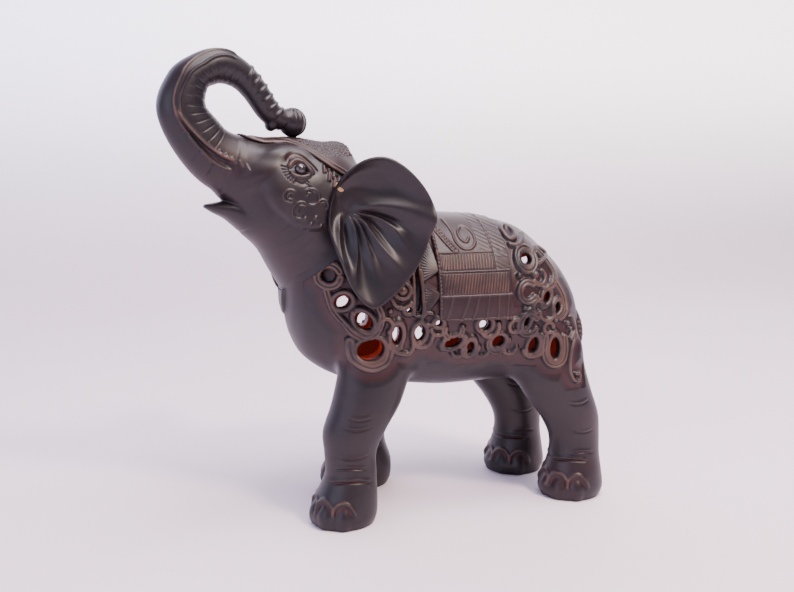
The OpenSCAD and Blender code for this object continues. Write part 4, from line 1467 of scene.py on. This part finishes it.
# ---------- what stays of the frame ----------
for name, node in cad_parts.items():
    finish = EYE if name.endswith("_eye") else DOWEL
    if name.endswith(("_eye", "_dowels", "_dowel", "_pins")):
        node.data.materials.clear()
        node.data.materials.append(finish)
    if finish is EYE:
        for polygon in node.data.polygons:
            polygon.use_smooth = True


# ---------- floor, light and camera ----------
def sweep_finish():
    """Pale paper, lit evenly where it rises behind the figure, cooler on the left."""
    f = Finish("pale_sweep")
    cloud = f.noise(3.0, 3.0, 0.5)
    parts = f.node("ShaderNodeSeparateXYZ", {}, f.place, out="X")
    height = f.node("ShaderNodeSeparateXYZ", {}, f.place, out="Z")
    paper = f.mix(cloud.between(0.3, 0.7), (0.80, 0.68, 0.76), (0.83, 0.71, 0.78))
    side = parts.between(-1.1, 1.0)
    light = f.mix(side, (0.62, 0.66, 0.92), (1.0, 0.93, 0.96))
    glow = f.mix(height.between(-0.01, 0.55), (0.004, 0.004, 0.004), light)
    f.set(Base_Color=paper, Roughness=0.75, Emission_Color=glow, Emission_Strength=3.4)
    return f.material


def sweep():
    """Floor that curves up into a backdrop behind the figure."""
    radius, back, wide, tall = 0.9, 1.5, 3.6, 2.6
    outline = [(-2.6, 0.0), (back - radius, 0.0)]
    for i in range(1, 17):
        t = i / 16 * math.pi / 2
        outline.append((back - radius + radius * math.sin(t), radius - radius * math.cos(t)))
    outline.append((back, tall))
    xs = np.linspace(-wide, wide, 13)
    points = np.array([(x, y, z) for y, z in outline for x in xs])
    n = len(xs)
    faces = [(i * n + j, i * n + j + 1, (i + 1) * n + j + 1, (i + 1) * n + j)
             for i in range(len(outline) - 1) for j in range(n - 1)]
    mesh = bpy.data.meshes.new("floor_sweep")
    mesh.from_pydata(points.tolist(), [], faces)
    mesh.materials.append(sweep_finish())
    for polygon in mesh.polygons:
        polygon.use_smooth = True
    stand("floor_sweep", mesh)


sweep()

world = bpy.data.worlds.new("studio")
bpy.context.scene.world = world
world.use_nodes = True
sky = world.node_tree.nodes["Background"].inputs
sky["Color"].default_value = (0.66, 0.66, 1.0, 1)
sky["Strength"].default_value = 0.34


def lamp(name, place, target, sides, power, colour):
    data = bpy.data.lights.new(name, "AREA")
    data.shape = "RECTANGLE"
    data.size, data.size_y = sides
    data.energy = power
    data.color = colour
    obj = stand(name, data)
    obj.location = place
    obj.rotation_euler = (Vector(target) - Vector(place)).to_track_quat("-Z", "Y").to_euler()


lamp("key", (0.56, -0.90, 1.21), (0, 0, 0.12), (0.24, 0.24), 26.0, (1.0, 0.80, 0.68))
lamp("overhead", (0.25, -0.25, 1.35), (0.05, 0.05, 0.0), (0.9, 0.8), 34.0, (1.0, 0.90, 0.96))
lamp("cool_side", (-1.1, -0.7, 0.5), (-0.05, 0, 0.14), (1.1, 0.9), 10.0, (0.70, 0.74, 1.0))

camera_data = bpy.data.cameras.new("camera")
camera_data.lens = 38.54
camera_data.sensor_width = 36.0
camera = stand("camera", camera_data)
camera.location = (-0.1458, -0.5137, 0.211)
camera.rotation_euler = (math.radians(81.4), 0, math.radians(-16.5))
bpy.context.scene.camera = camera
